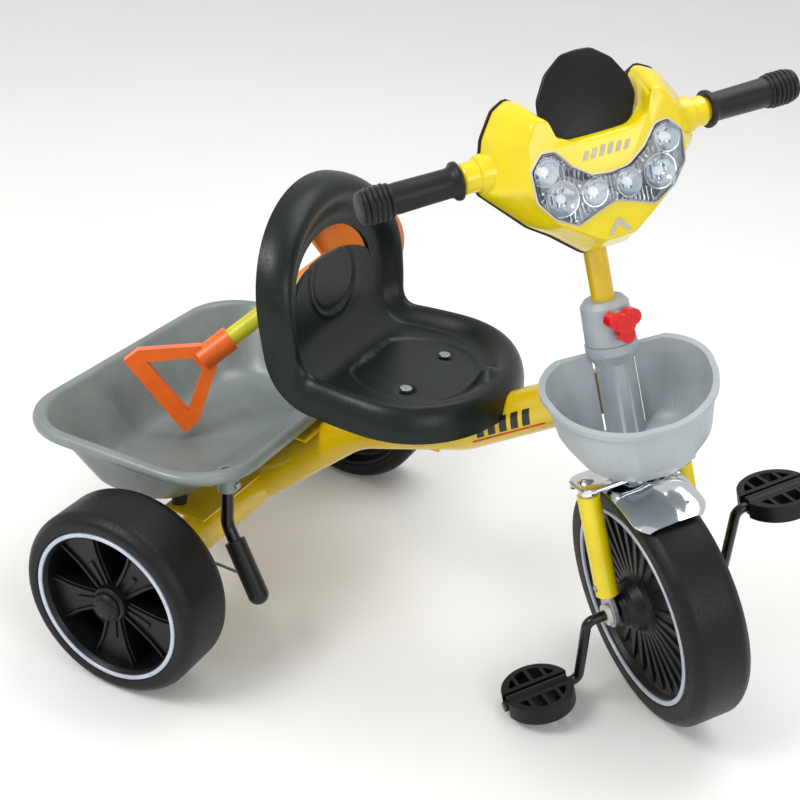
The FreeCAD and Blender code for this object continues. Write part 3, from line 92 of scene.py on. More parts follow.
# A moulded, painted or plated finish: slow colour drift, fine surface grain and optional scuffs.
# grain and mottle are sizes in millimetres; scuff, coat, clear, sheen and the painted highlight glow are
# amounts.
def finish(name, colour, dark=None, rough=(0.3, 0.4), metallic=0, ior=1.5, coat=0, grain=0.5, bump=0.1,
        mottle=40, scuff=0, scuffColour="#6A6C6A", clear=0, sheen=0, glow=0):
    material = bpy.data.materials.new(name)
    material.use_nodes = True
    tree = material.node_tree
    tree.nodes.clear()
    output = addNode(tree, "ShaderNodeOutputMaterial")
    shader = addNode(tree, "ShaderNodeBsdfPrincipled", {"Metallic": metallic, "IOR": ior,
            "Coat Weight": coat, "Coat Roughness": 0.06, "Transmission Weight": clear})
    if sheen:
        shader.inputs["Sheen Weight"].default_value = sheen
    tree.links.new(shader.outputs[0], output.inputs["Surface"])
    spot = addNode(tree, "ShaderNodeTexCoord").outputs["Object"]
    drift = addNode(tree, "ShaderNodeTexNoise", {"Scale": 1000 / mottle, "Detail": 4, "Roughness": 0.6},
            {"Vector": spot})
    fine = addNode(tree, "ShaderNodeTexNoise", {"Scale": 1000 / (grain * 4), "Detail": 3,
            "Roughness": 0.55}, {"Vector": spot})
    ramp = addNode(tree, "ShaderNodeMapRange", {"From Min": 0.32, "From Max": 0.68},
            {"Value": drift.outputs[0]})
    mix = addNode(tree, "ShaderNodeMix", {"data_type": "RGBA"})
    mix.inputs[6].default_value = linear(colour)
    mix.inputs[7].default_value = linear(dark or colour)
    tree.links.new(ramp.outputs[0], mix.inputs[0])
    shade = mix.outputs[2]
    gloss = addNode(tree, "ShaderNodeMapRange", {"From Min": 0.3, "From Max": 0.7, "To Min": rough[0],
            "To Max": rough[1]}, {"Value": fine.outputs[0]}).outputs[0]
    if scuff:
        stretch = addNode(tree, "ShaderNodeMapping", {"Scale": (1, 2.6, 0.7)}, {"Vector": spot})
        marks = addNode(tree, "ShaderNodeTexNoise", {"Scale": 55, "Detail": 8, "Roughness": 0.72},
                {"Vector": stretch.outputs[0]})
        worn = addNode(tree, "ShaderNodeMapRange", {"From Min": 0.56, "From Max": 0.72, "To Min": 0,
                "To Max": scuff}, {"Value": marks.outputs[0]})
        wear = addNode(tree, "ShaderNodeMix", {"data_type": "RGBA"})
        wear.inputs[7].default_value = linear(scuffColour)
        tree.links.new(worn.outputs[0], wear.inputs[0])
        tree.links.new(shade, wear.inputs[6])
        shade = wear.outputs[2]
        gloss = addNode(tree, "ShaderNodeMath", {"operation": "ADD", "use_clamp": True},
                {0: gloss, 1: worn.outputs[0]}).outputs[0]
    tree.links.new(shade, shader.inputs["Base Color"])
    tree.links.new(gloss, shader.inputs["Roughness"])
    if bump:
        relief = addNode(tree, "ShaderNodeBump", {"Strength": bump, "Distance": 0.0003},
                {"Height": fine.outputs[0]})
        tree.links.new(relief.outputs[0], shader.inputs["Normal"])
    # Painted highlight: a near-white emission glow that stands in for light caught on the surface.
    if glow:
        shader.inputs["Emission Color"].default_value = linear("#F4F6F8")
        shader.inputs["Emission Strength"].default_value = glow
    return material


finishes = {
    # Powder-coated steel tube: deep clear gloss over a faint orange-peel ripple.
    "frame_yellow": finish("powderCoatYellow", "#DFC008", "#D2AE04", (0.16, 0.26), coat=0.5, grain=1.2,
            bump=0.16, mottle=60),
    # Moulded ABS: a clean bright gloss over a fine grain.
    "cover_yellow": finish("absYellow", "#E6D104", "#DCC404", (0.2, 0.32), coat=0.25, grain=0.6, bump=0.08,
            mottle=50),
    "cowl_yellow": finish("absCowlYellow", "#E6D202", "#DDC602", (0.18, 0.3), coat=0.3, grain=0.6,
            bump=0.06, mottle=70),
    # Moulded polypropylene: soft broad highlight, light spark-eroded grain.
    "black_plastic": finish("moldedPolypropyleneBlack", "#0C0D0E", "#070808", (0.34, 0.5), ior=1.36,
            grain=0.5, bump=0.22, mottle=30),
    "seat_black": finish("seatPolypropylene", "#0A1710", "#07110C", (0.3, 0.42), ior=1.38, grain=0.7,
            bump=0.3, mottle=45, scuff=0.05),
    # Foamed plastic tyre: satin skin with dull grey scuffs.
    "tyre_black": finish("foamTyreSkin", "#0A0C0B", "#060707", (0.38, 0.55), ior=1.35, grain=0.8, bump=0.25,
            mottle=35, scuff=0.14, scuffColour="#3A3C39"),
    "wheel_black": finish("wheelPolypropylene", "#0C0F10", "#070809", (0.32, 0.46), ior=1.38, grain=0.6,
            bump=0.2, mottle=25),
    # Hot-stamped foil stripe: pale, softly metallic.
    "ring_silver": finish("stampedFoilSilver", "#C4CCD8", "#AEB7C6", (0.3, 0.42), metallic=0.35, grain=0.7,
            bump=0.06, mottle=20),
    # Soft PVC grip: even matte black with a faint sheen on the ribs.
    "grip_black": finish("softPvcGrip", "#0A0B0C", "#060707", (0.34, 0.5), ior=1.38, grain=0.4, bump=0.2,
            mottle=18, sheen=0.1),
    "pad_rubber": finish("buffRubber", "#2B2D2E", "#1E2021", (0.6, 0.75), grain=0.6, bump=0.3, mottle=12),
    "basket_grey": finish("basketPolypropyleneGrey", "#A9B0B5", "#9DA5AA", (0.36, 0.48), grain=0.7,
            bump=0.16, mottle=45, scuff=0.05, scuffColour="#C8CCCE"),
    # Silver-grey polypropylene with a little flake, marked by toys and sand.
    "tub_grey": finish("tubPolypropyleneSilver", "#858E8B", "#747E7B", (0.3, 0.44), metallic=0.15,
            grain=0.7, bump=0.14, mottle=70, scuff=0.16, scuffColour="#B0B6B6"),
    "knob_red": finish("nylonRed", "#DE0606", "#C00404", (0.2, 0.32), coat=0.2, grain=0.4, bump=0.08,
            mottle=12),
    "shovel_orange": finish("shovelPlasticOrange", "#E8863A", "#DC7628", (0.3, 0.42), grain=0.6, bump=0.12,
            mottle=35),
    "handle_orange": finish("handlePlasticOrange", "#F56E10", "#E85F06", (0.28, 0.4), grain=0.6, bump=0.12,
            mottle=30),
    "shaft_yellow": finish("shaftPlasticYellow", "#D0CC06", "#C2BC02", (0.28, 0.4), grain=0.6, bump=0.1,
            mottle=30),
    # Bright chrome plate: near-mirror with a trace of haze.
    "chrome": finish("chromePlate", "#E2E5E8", "#D4D8DC", (0.05, 0.12), metallic=1, grain=0.8, bump=0.02,
            mottle=30),
    # Zinc plate: grey, softly brushed, slightly uneven.
    "zinc": finish("zincPlate", "#B4B8BC", "#9BA0A4", (0.26, 0.42), metallic=1, grain=0.4, bump=0.12,
            mottle=9),
    "black_steel": finish("enamelBlackSteel", "#0C0D0F", "#070809", (0.22, 0.36), ior=1.4, coat=0.2,
            grain=0.6, bump=0.1, mottle=20),
    "nylon_white": finish("nylonNatural", "#CBC9C0", "#BEBBB0", (0.34, 0.46), grain=0.4, bump=0.08,
            mottle=10),
    # Clear polycarbonate: thin water-clear cover.
    "lens_clear": finish("clearPolycarbonate", "#F4F8FA", "#EEF3F6", (0.02, 0.05), ior=1.58, clear=1,
            grain=0.8, bump=0.015, mottle=30),
    "reflector_silver": finish("vacuumMetalSilver", "#DDE2E8", "#C4CAD2", (0.08, 0.2), metallic=0.9,
            grain=0.8, bump=0.1, mottle=14),
    # Frosted bulb with a painted highlight: its emission glow stands in for light caught on the bulb.
    "bulb_clear": finish("frostedBulb", "#F2F5F7", "#E4E8EB", (0.1, 0.2), grain=0.4, bump=0.03, mottle=8,
            glow=0.5),
}
# Printed film: flat opaque inks under a thin gloss.
inks = {"black": finish("printedBlack", "#121214", "#19191C", (0.25, 0.35), grain=0.4, bump=0.03,
        mottle=20), "red": finish("printedRed", "#D8240C", "#C81E08", (0.25, 0.35), grain=0.4, bump=0.03,
        mottle=20), "lensEdge": finish("lensWeldEdge", "#C9C7BC", "#BDBBB0", (0.35, 0.5), grain=0.4,
        bump=0.03, mottle=20), "silver": finish("printedSilver", "#A9A48E", "#B6B2A0", (0.3, 0.4),
        metallic=0.3, grain=0.4, bump=0.03, mottle=20),}
print("finishes made:", len(finishes) + len(inks))


# Mesh building.
made = []
replaced = set()


# A bmesh from points and faces, doubles merged and faces pointing outwards.
def shell(verts, faces):
    bm = bmesh.new()
    corners = [bm.verts.new(v) for v in verts]
    for face in faces:
        if len(set(face)) > 2:
            bm.faces.new([corners[i] for i in face])
    bmesh.ops.remove_doubles(bm, verts=bm.verts, dist=0.001)
    bmesh.ops.recalc_face_normals(bm, faces=bm.faces)
    return bm


# Skin between point loops of equal length; close joins the last loop to the first.
def rings(loops, close=False, capEnds=True):
    count = len(loops[0])
    verts = [Vector(p) for loop in loops for p in loop]
    faces = []
    pairs = [(i, i + 1) for i in range(len(loops) - 1)]
    if close:
        pairs.append((len(loops) - 1, 0))
    for low, high in pairs:
        for i in range(count):
            j = (i + 1) % count
            faces.append((low * count + i, low * count + j, high * count + j, high * count + i))
    if capEnds and not close:
        faces.append(tuple(range(count)))
        faces.append(tuple((len(loops) - 1) * count + i for i in range(count)))
    return shell(verts, faces)


# Profile of (radius, height) turned about Z. Open profiles start and end on the axis.
def spun(profile, steps=72, closed=True):
    loops = []
    for radius, height in profile:
        loops.append([(radius * math.cos(2 * math.pi * i / steps),
                radius * math.sin(2 * math.pi * i / steps), height) for i in range(steps)])
    return rings(loops, close=closed, capEnds=False)


# Corners of a flat outline replaced by arcs. radius is one value or one for each corner.
def rounded(points, radius, steps=4, closed=True):
    result = []
    count = len(points)
    for i, point in enumerate(points):
        here = Vector(point)
        size = radius[i] if isinstance(radius, (list, tuple)) else radius
        if size <= 0 or (not closed and i in (0, count - 1)):
            result.append(tuple(here))
            continue
        before = Vector(points[i - 1]) - here
        after = Vector(points[(i + 1) % count]) - here
        half = before.angle(after) / 2
        if abs(half - math.pi / 2) < 0.01:
            result.append(tuple(here))
            continue
        reach = min(size / math.tan(half), before.length * 0.49, after.length * 0.49)
        size = reach * math.tan(half)
        start = here + before.normalized() * reach
        end = here + after.normalized() * reach
        centre = here + (before.normalized() + after.normalized()).normalized() * (size / math.sin(half))
        for step in range(steps + 1):
            mixAmount = step / steps
            way = (start - centre).lerp(end - centre, mixAmount)
            result.append(tuple(centre + way.normalized() * size))
    return result


# Closed outline cut to count points, evenly spaced, starting at the first point.
def resample(points, count):
    loop = [Vector(p) for p in points]
    loop.append(loop[0].copy())
    lengths = [0]
    for a, b in zip(loop, loop[1:]):
        lengths.append(lengths[-1] + (b - a).length)
    result = []
    index = 0
    for step in range(count):
        target = lengths[-1] * step / count
        while lengths[index + 1] < target:
            index += 1
        span = lengths[index + 1] - lengths[index]
        result.append(loop[index].lerp(loop[index + 1], (target - lengths[index]) / span if span else 0))
    return result


# Several closed shells in one bmesh.
def merge(*parts):
    whole = bmesh.new()
    for part in parts:
        mesh = bpy.data.meshes.new("part")
        part.to_mesh(mesh)
        part.free()
        whole.from_mesh(mesh)
        bpy.data.meshes.remove(mesh)
    return whole


def moved(bm, matrix):
    bm.transform(matrix)
    return bm


# A block between two corners.
def box(low, high):
    bm = bmesh.new()
    bmesh.ops.create_cube(bm, size=1)
    size = [h - l for l, h in zip(low, high)]
    middle = [(h + l) / 2 for l, h in zip(low, high)]
    bm.transform(Matrix.Translation(middle) @ Matrix.Diagonal(size + [1]))
    return bm


# Closed outline of points pushed along a direction.
def prism(outline, direction):
    base = [Vector(p) for p in outline]
    return rings([base, [p + Vector(direction) for p in base]])


def toObject(name, bm):
    mesh = bpy.data.meshes.new(name)
    bm.to_mesh(mesh)
    bm.free()
    obj = bpy.data.objects.new(name, mesh)
    bpy.context.scene.collection.objects.link(obj)
    return obj


# Modifiers turned into plain mesh.
def settle(obj):
    bpy.context.view_layer.update()
    graph = bpy.context.evaluated_depsgraph_get()
    mesh = bpy.data.meshes.new_from_object(obj.evaluated_get(graph))
    old = obj.data
    obj.modifiers.clear()
    obj.data = mesh
    bpy.data.meshes.remove(old)
    return obj


# Exact boolean cuts, with the cutters removed afterwards.
def cutWith(obj, *cutters):
    for cutter in cutters:
        modifier = obj.modifiers.new("cut", "BOOLEAN")
        modifier.operation = "DIFFERENCE"
        modifier.solver = "EXACT"
        modifier.object = cutter
    settle(obj)
    for cutter in cutters:
        bpy.data.objects.remove(cutter)
    return obj


def smooth(obj, angle=35):
    obj.data.polygons.foreach_set("use_smooth", [True] * len(obj.data.polygons))
    obj.data.set_sharp_from_angle(angle=math.radians(angle))
    obj.data.update()


# Finished piece: placed, shaded, bevelled and riding on its body. source is a bmesh or an object.
def piece(name, source, body, slot, replaces=(), matrix=None, bevel=0, angle=35, material=None, segments=2):
    obj = source if isinstance(source, bpy.types.Object) else toObject(name, source)
    obj.name = name
    obj.data.name = name
    if matrix is not None:
        obj.data.transform(toMetres @ matrix)
    obj.data.materials.clear()
    obj.data.materials.append(material or finishes[slot])
    for polygon in obj.data.polygons:
        polygon.material_index = 0
    smooth(obj, angle)
    if bevel:
        modifier = obj.modifiers.new("edge", "BEVEL")
        modifier.width = bevel / 1000
        modifier.segments = segments
        modifier.limit_method = "ANGLE"
        modifier.angle_limit = math.radians(angle)
        modifier.harden_normals = True
    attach(obj, body)
    if replaces:
        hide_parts(*replaces)
        replaced.update(replaces)
    made.append(obj)
    return obj


# A ring of copies about Z, made in Geometry Nodes: spokes, ribs, screws and dimples use it.
def repeatTree():
    tree = bpy.data.node_groups.new("repeatAround", "GeometryNodeTree")
    face = tree.interface
    face.new_socket("Geometry", in_out="INPUT", socket_type="NodeSocketGeometry")
    count = face.new_socket("Count", in_out="INPUT", socket_type="NodeSocketInt")
    paint = face.new_socket("Finish", in_out="INPUT", socket_type="NodeSocketMaterial")
    face.new_socket("Geometry", in_out="OUTPUT", socket_type="NodeSocketGeometry")
    start = addNode(tree, "NodeGroupInput")
    end = addNode(tree, "NodeGroupOutput")
    points = addNode(tree, "GeometryNodePoints", {}, {"Count": start.outputs["Count"]})
    index = addNode(tree, "GeometryNodeInputIndex")
    share = addNode(tree, "ShaderNodeMath", {"operation": "DIVIDE"},
            {0: index.outputs[0], 1: start.outputs["Count"]})
    angle = addNode(tree, "ShaderNodeMath", {"operation": "MULTIPLY"}, {0: share.outputs[0]})
    angle.inputs[1].default_value = 2 * math.pi
    spin = addNode(tree, "ShaderNodeCombineXYZ", {}, {"Z": angle.outputs[0]})
    copies = addNode(tree, "GeometryNodeInstanceOnPoints", {},
            {"Points": points.outputs[0], "Instance": start.outputs["Geometry"],
            "Rotation": spin.outputs[0]})
    real = addNode(tree, "GeometryNodeRealizeInstances", {}, {"Geometry": copies.outputs[0]})
    painted = addNode(tree, "GeometryNodeSetMaterial", {},
            {"Geometry": real.outputs[0], "Material": start.outputs["Finish"]})
    tree.links.new(painted.outputs[0], end.inputs["Geometry"])
    return tree, count.identifier, paint.identifier


repeatAround, countSocket, finishSocket = repeatTree()


# count copies of a shell about Z, as one bmesh.
def around(bm, count, slot):
    obj = toObject("repeat", bm)
    modifier = obj.modifiers.new("around", "NODES")
    modifier.node_group = repeatAround
    modifier[countSocket] = count
    modifier[finishSocket] = finishes[slot]
    settle(obj)
    result = bmesh.new()
    result.from_mesh(obj.data)
    bpy.data.objects.remove(obj)
    return result


# Wheels.
rearWheel = {"rim": 80, "ring": (75.5, 79.6), "spokes": 5, "hub": 17, "webDepth": 44, "spokeTop": 15}


def buildRearWheel(side, name):
    facing = turn(-90 if side < 0 else 90, "X")
    place = rearPlace @ millimetre(0, side * layout["trackHalf"], layout["rearRadius"]) @ facing
    radius = layout["rearRadius"]
    width = layout["rearWidth"]
    rim = rearWheel["rim"]
    tyre = spun(rounded([(rim - 0.3, 2.5), (rim + 2, 0.6), (radius - 7, 0), (radius, 9),
            (radius, width - 9), (radius - 7, width), (rim + 1, width), (rim - 0.3, width - 2)],
            [1, 2, 8, 12, 12, 8, 1, 1], 5), 112)
    piece("rearTyre" + name, tyre, "rear_wheel_" + name.lower(), "tyre_black",
            ["rear_tyre_" + name.lower()], place)
    inner, outer = rearWheel["ring"]
    stripe = spun(rounded([(inner, 3), (inner, 0.7), (outer, 0.4), (outer + 0.3, 3)], [0, 0.8, 0.8, 0], 3),
            112)
    piece("rearStripe" + name, stripe, "rear_wheel_" + name.lower(), "ring_silver",
            ["rear_ring_" + name.lower()], place)

    web = rearWheel["webDepth"]
    hub = rearWheel["hub"]
    barrel = spun(rounded([(rim, 2.6), (rim - 5, 2.2), (rim - 7.5, 7), (rim - 8, web), (hub + 4, web),
            (hub + 1, 7), (hub - 2, 5), (5.2, 5), (5.2, width - 1), (hub, width - 1), (hub, web + 4),
            (rim - 6, web + 4), (rim - 5, width - 2), (rim, width - 2)],
            [0, 1, 2, 3, 6, 1.5, 1, 0, 0, 1, 3, 3, 1, 1], 3), 112)
    top = rearWheel["spokeTop"]
    plan = rounded([(9, hub - 3), (13, 34), (17, 50), (27, rim - 8), (-27, rim - 8), (-17, 50), (-13, 34),
            (-9, hub - 3)], [0, 20, 20, 0, 0, 20, 20, 0], 4)
    spoke = prism([(x, y, top) for x, y in plan], (0, 0, web - top + 1))
    parts = [barrel, around(spoke, rearWheel["spokes"], "wheel_black")]
    for edge in (-1, 1):
        rib = rounded([(edge * 8, hub - 1), (edge * 11.5, 34), (edge * 15.5, 50), (edge * 25, rim - 7),
                (edge * 22, rim - 7), (edge * 12.5, 50), (edge * 8.5, 34), (edge * 5, hub - 1)],
                [0, 20, 20, 0, 0, 20, 20, 0], 4)
        parts.append(around(prism([(x, y, top - 3) for x, y in rib], (0, 0, 4)), rearWheel["spokes"],
                "wheel_black"))
    ridge = rounded([(2, hub), (3, 44), (-3, 44), (-2, hub)], 0)
    parts.append(around(prism([(x, y, top - 2) for x, y in ridge], (0, 0, 3)), rearWheel["spokes"],
            "wheel_black"))
    piece("rearWheelCentre" + name, merge(*parts), "rear_wheel_" + name.lower(), "wheel_black",
            ["rear_rim_" + name.lower()], place, bevel=0.9, angle=40)
    cap = spun([(0, -3), (6, -2.9), (10, -2), (13.4, 0.4), (15, 3), (15, 5.2), (13, 5.2), (12, 2), (0, 1)],
            48, closed=False)
    dimple = around(moved(spun([(0, -0.6), (1.2, -0.5), (1.6, 0.4), (0, 0.6)], 12, closed=False),
            millimetre(9.5, 0, -2.2)), 8, "black_plastic")
    piece("rearHubCap" + name, merge(cap, dimple), "rear_wheel_" + name.lower(), "black_plastic",
            ["rear_hub_cap_" + name.lower()], place, angle=50)


buildRearWheel(-1, "Right")
buildRearWheel(1, "Left")

frontWheel = {"rim": 101, "ring": (96, 100.6), "ribs": 28, "web": 18, "hub": 24}


def buildFrontWheel():
    place = forkPlace @ turn(-90, "X")
    radius = layout["frontRadius"]
    half = layout["frontWidth"] / 2
    rim = frontWheel["rim"]
    tyre = spun(rounded([(rim - 0.3, -half + 2.4), (rim + 2, -half + 0.6), (radius - 7, -half),
            (radius, -half + 9), (radius, half - 9), (radius - 7, half), (rim + 2, half - 0.6),
            (rim - 0.3, half - 2.4)], [1, 2, 8, 12, 12, 8, 2, 1], 5), 128)
    piece("frontTyre", tyre, "front_wheel", "tyre_black", ["front_tyre"], place)
    inner, outer = frontWheel["ring"]
    stripes = []
    for side in (-1, 1):
        stripes.append(spun(rounded([(inner, side * (half - 3)), (inner, side * (half - 0.7)),
                (outer, side * (half - 0.4)), (outer + 0.4, side * (half - 3))], [0, 0.8, 0.8, 0], 3), 128))
    piece("frontStripes", merge(*stripes), "front_wheel", "ring_silver", ["front_rings"], place)
    web = frontWheel["web"]
    hub = frontWheel["hub"]
    section = [(5.1, 43), (hub - 8, 43), (hub - 7, 37), (hub, 32), (hub + 3, web + 4), (hub + 10, web + 1),
            (rim - 20, web - 2), (rim - 9, web + 1), (rim - 6, half - 5), (rim - 4, half - 2.6),
            (rim, half - 2.6)]
    section += [(r, -h) for r, h in reversed(section)]
    disc = spun(rounded(section, [0, 1.5, 2, 2, 4, 3, 8, 5, 2, 1, 0, 0, 1, 2, 5, 8, 3, 4, 2, 2, 1.5, 0], 3),
            128)
    parts = [disc]
    for side in (-1, 1):
        plan = rounded([(-2.1, hub + 6), (2.1, hub + 6), (3.4, rim - 10), (-3.4, rim - 10)], 1.5, 3)
        parts.append(around(prism([(x, y, side * (web - 4)) for x, y in plan], (0, 0, side * 5.6)),
                frontWheel["ribs"], "wheel_black"))
        boss = moved(spun(rounded([(30, 0), (33, 0), (33, 4), (30, 4)], 1.2, 3), 72),
                millimetre(0, 0, side * (web - 1.5) - 2))
        parts.append(boss)
        screw = moved(spun([(0, 3), (3.4, 2.8), (3.6, 0), (0, -0.5)], 16, closed=False),
                millimetre(19, 0, side * 31) @ turn(0 if side > 0 else 180, "X"))
        parts.append(around(screw, 5, "wheel_black"))
    piece("frontWheelCentre", merge(*parts), "front_wheel", "wheel_black", ["front_rim"], place, bevel=0.7,
            angle=40)


buildFrontWheel()
print("wheels made")

# Seat.
seat = {"noseX": 284, "creaseX": 92, "floorZ": 294, "topX": 62, "topZ": 466, "bend": 42, "half": 124,
        "wall": 4.5, "rimWidth": 38, "rimHeight": 15, "rimDrop": 17, "rimCrest": 15, "noseRound": 104,
        "headRound": 104, "waistDepth": 7, "waistAt": 20, "waistLength": 42, "wrap": 0.0011, "rings": 60,
        "around": 224}
dish = {"x": 178, "long": 66, "half": 70, "depth": 2.2}
panel = {"up": 96, "long": 38, "half": 44, "line": 1.4, "groove": 0.9}
boltWell = {"x": 190, "half": 44, "radius": 11, "depth": 2.0}
pommel = {"start": 236, "end": 290, "half": 30, "fade": 16, "height": 13}
handGap = {"up": 96, "half": 74, "topRise": 50, "lowRise": 24, "steps": 32}


# Side line of the seat floor and back with its arc: a function from distance to (point, normal).
def seatProfile():
    start = Vector((seat["noseX"], seat["floorZ"]))
    corner = Vector((seat["creaseX"], seat["floorZ"]))
    top = Vector((seat["topX"], seat["topZ"]))
    along = (corner - start).normalized()
    up = (top - corner).normalized()
    half = (math.pi - along.angle(up)) / 2
    reach = seat["bend"] / math.tan(half)
    arcLength = seat["bend"] * (math.pi - 2 * half)
    flat = (corner - start).length - reach
    centre = corner - along * reach + Vector((0, 1)) * seat["bend"]
    total = flat + arcLength + (top - corner).length - reach

    def at(s):
        if s <= flat:
            return start + along * s, Vector((0, 1))
        if s <= flat + arcLength:
            angle = (s - flat) / seat["bend"]
            direction = Vector((-math.sin(angle), -math.cos(angle)))
            return centre + direction * seat["bend"], -direction
        rest = s - flat - arcLength
        normal = Vector((up.y, -up.x))
        return corner + up * (reach + rest), normal
    return at, total, flat


profileAt, profileLength, flatLength = seatProfile()


def smoothStep(value):
    value = min(1, max(0, value))
    return value * value * (3 - 2 * value)


def seatHalfWidth(s):
    nose = seat["noseRound"]
    head = seat["headRound"]
    crease = flatLength + seat["waistAt"]
    waist = seat["half"] - seat["waistDepth"] * math.exp(-((s - crease) / seat["waistLength"]) ** 2)
    if s < nose:
        return waist * max(0, 1 - ((nose - s) / nose) ** 2.3) ** 0.5
    if s > profileLength - head:
        return waist * max(0, 1 - ((s - profileLength + head) / head) ** 2.2) ** 0.5
    return waist


# Closed outline of the unrolled seat as (distance along, distance across).
def seatOutline(count):
    fine = 400
    side = []
    for i in range(fine + 1):
        angle = math.pi * i / fine
        s = profileLength * (1 - math.cos(angle)) / 2
        side.append((s, seatHalfWidth(s)))
    loop = side + [(s, -t) for s, t in reversed(side[1:-1])]
    return resample([(s, t, 0) for s, t in loop], count)


# Height of the moulded details above the plain seat surface.
def seatRelief(s, t):
    floorX = seat["noseX"] - s
    up = s - flatLength
    height = 0
    if up < 0:
        ring = math.hypot((floorX - dish["x"]) / dish["long"], t / dish["half"])
        height -= dish["depth"] * smoothStep((1 - ring) / 0.07)
    if up > 0:
        ring = math.hypot((up - panel["up"]) / panel["long"], t / panel["half"])
        height += panel["line"] * math.exp(-((ring - 1) / 0.055) ** 2)
        height -= panel["groove"] * math.exp(-((ring - 0.9) / 0.05) ** 2)
    for side in (-1, 1):
        well = math.hypot(floorX - boltWell["x"], t - side * boltWell["half"])
        height -= boltWell["depth"] * smoothStep((boltWell["radius"] - well) / 4)
    grown = smoothStep((floorX - pommel["start"]) / pommel["fade"])
    ended = smoothStep((pommel["end"] - floorX) / pommel["fade"])
    height += pommel["height"] * grown * smoothStep(1 - abs(t) / pommel["half"]) * ended
    return height


# The back is dished a little round the rider.
def seatPoint(s, t, lift=0):
    point, normal = profileAt(min(max(s, 0), profileLength))
    place = point + normal * lift
    wrap = seat["wrap"] * t * t * smoothStep((s - flatLength) / 60) * 0.5
    return Vector((place.x + wrap, t, place.y))


def rimLift(edge):
    crest = seat["rimCrest"]
    if edge < crest:
        tall = seat["rimHeight"] + seat["rimDrop"]
        return tall * math.sqrt(max(0, 1 - ((crest - edge) / crest) ** 2)) - seat["rimDrop"]
    return seat["rimHeight"] * (1 - smoothStep((edge - crest) / (seat["rimWidth"] - crest)))


# The hand hole's outline on the unrolled back: two arcs that meet at its ends.
def handOutline():
    steps = handGap["steps"]
    foot = flatLength + handGap["up"]
    angles = [math.pi * i / steps for i in range(steps + 1)]
    top = [(foot + handGap["topRise"] * math.sin(a), -handGap["half"] * math.cos(a)) for a in angles]
    backwards = [math.pi * (1 - i / steps) for i in range(1, steps)]
    low = [(foot + handGap["lowRise"] * math.sin(a), -handGap["half"] * math.cos(a)) for a in backwards]
    return top + low


def buildSeat():
    outline = seatOutline(seat["around"])
    middle = Vector((profileLength * 0.5, 0, 0))
    loops = []
    count = seat["rings"]
    for ringIndex in range(count):
        share = (ringIndex / count) ** 1.35
        loop = []
        for p in outline:
            spot = p.lerp(middle, share)
            edge = share * seat["half"] + 0.35 * ((p - spot).length - share * seat["half"])
            lift = rimLift(edge) + seatRelief(spot.x, spot.y) * smoothStep((edge - 14) / 12)
            loop.append(seatPoint(spot.x, spot.y, lift))
        loops.append(loop)
    verts = [v for loop in loops for v in loop]
    total = len(outline)
    faces = []
    for i in range(count - 1):
        for j in range(total):
            k = (j + 1) % total
            faces.append((i * total + j, i * total + k, (i + 1) * total + k, (i + 1) * total + j))
    verts.append(seatPoint(middle.x, 0, 0))
    for j in range(total):
        faces.append(((count - 1) * total + j, (count - 1) * total + (j + 1) % total, len(verts) - 1))
    bm = bmesh.new()
    corners = [bm.verts.new(v) for v in verts]
    for face in faces:
        bm.faces.new([corners[i] for i in face])
    bm.normal_update()
    upward = sum((f.normal.z + f.normal.x) * f.calc_area() for f in bm.faces)
    if upward < 0:
        bmesh.ops.reverse_faces(bm, faces=bm.faces)
    obj = toObject("seatShell", bm)
    wall = obj.modifiers.new("wall", "SOLIDIFY")
    wall.thickness = seat["wall"]
    wall.offset = -1
    settle(obj)
    gap = handOutline()
    cutter = toObject("handGap", rings([[seatPoint(s, t, lift) for s, t in gap] for lift in (40, -40)]))
    cutWith(obj, cutter)
    piece("seatShell", obj, "frame", "seat_black", ["seat"], rearPlace, bevel=1.4, angle=50, segments=3)
    print("seat made:", len(obj.data.polygons), "faces")


buildSeat()

# Rear tub.
tub = {"rimZ": 214, "floorZ": 135, "back": -172, "front": 68, "half": 187, "wall": 3, "footBack": -128,
        "footFront": -15, "footHalf": 145, "footCorner": 44, "cornerGrowth": 20}


def roundRect(x0, x1, half, corner, steps=10):
    points = []
    for cx, cy, start in ((x1 - corner, half - corner, 0), (x0 + corner, half - corner, 90),
            (x0 + corner, -half + corner, 180), (x1 - corner, -half + corner, 270)):
        for i in range(steps + 1):
            angle = math.radians(start + 90 * i / steps)
            points.append((cx + corner * math.cos(angle), cy + corner * math.sin(angle)))
    return points


# One outline of the tub: share runs from the foot to the rim, out is measured outwards.
def tubLoop(share, z, out):
    back = tub["footBack"] + (tub["back"] - tub["footBack"]) * share
    front = tub["footFront"] + (tub["front"] - tub["footFront"]) * share
    half = tub["footHalf"] + (tub["half"] - tub["footHalf"]) * share
    size = tub["footCorner"] + tub["cornerGrowth"] * share + out * 0.6
    return [(x, y, z) for x, y in roundRect(back - out, front + out, half + out, size)]


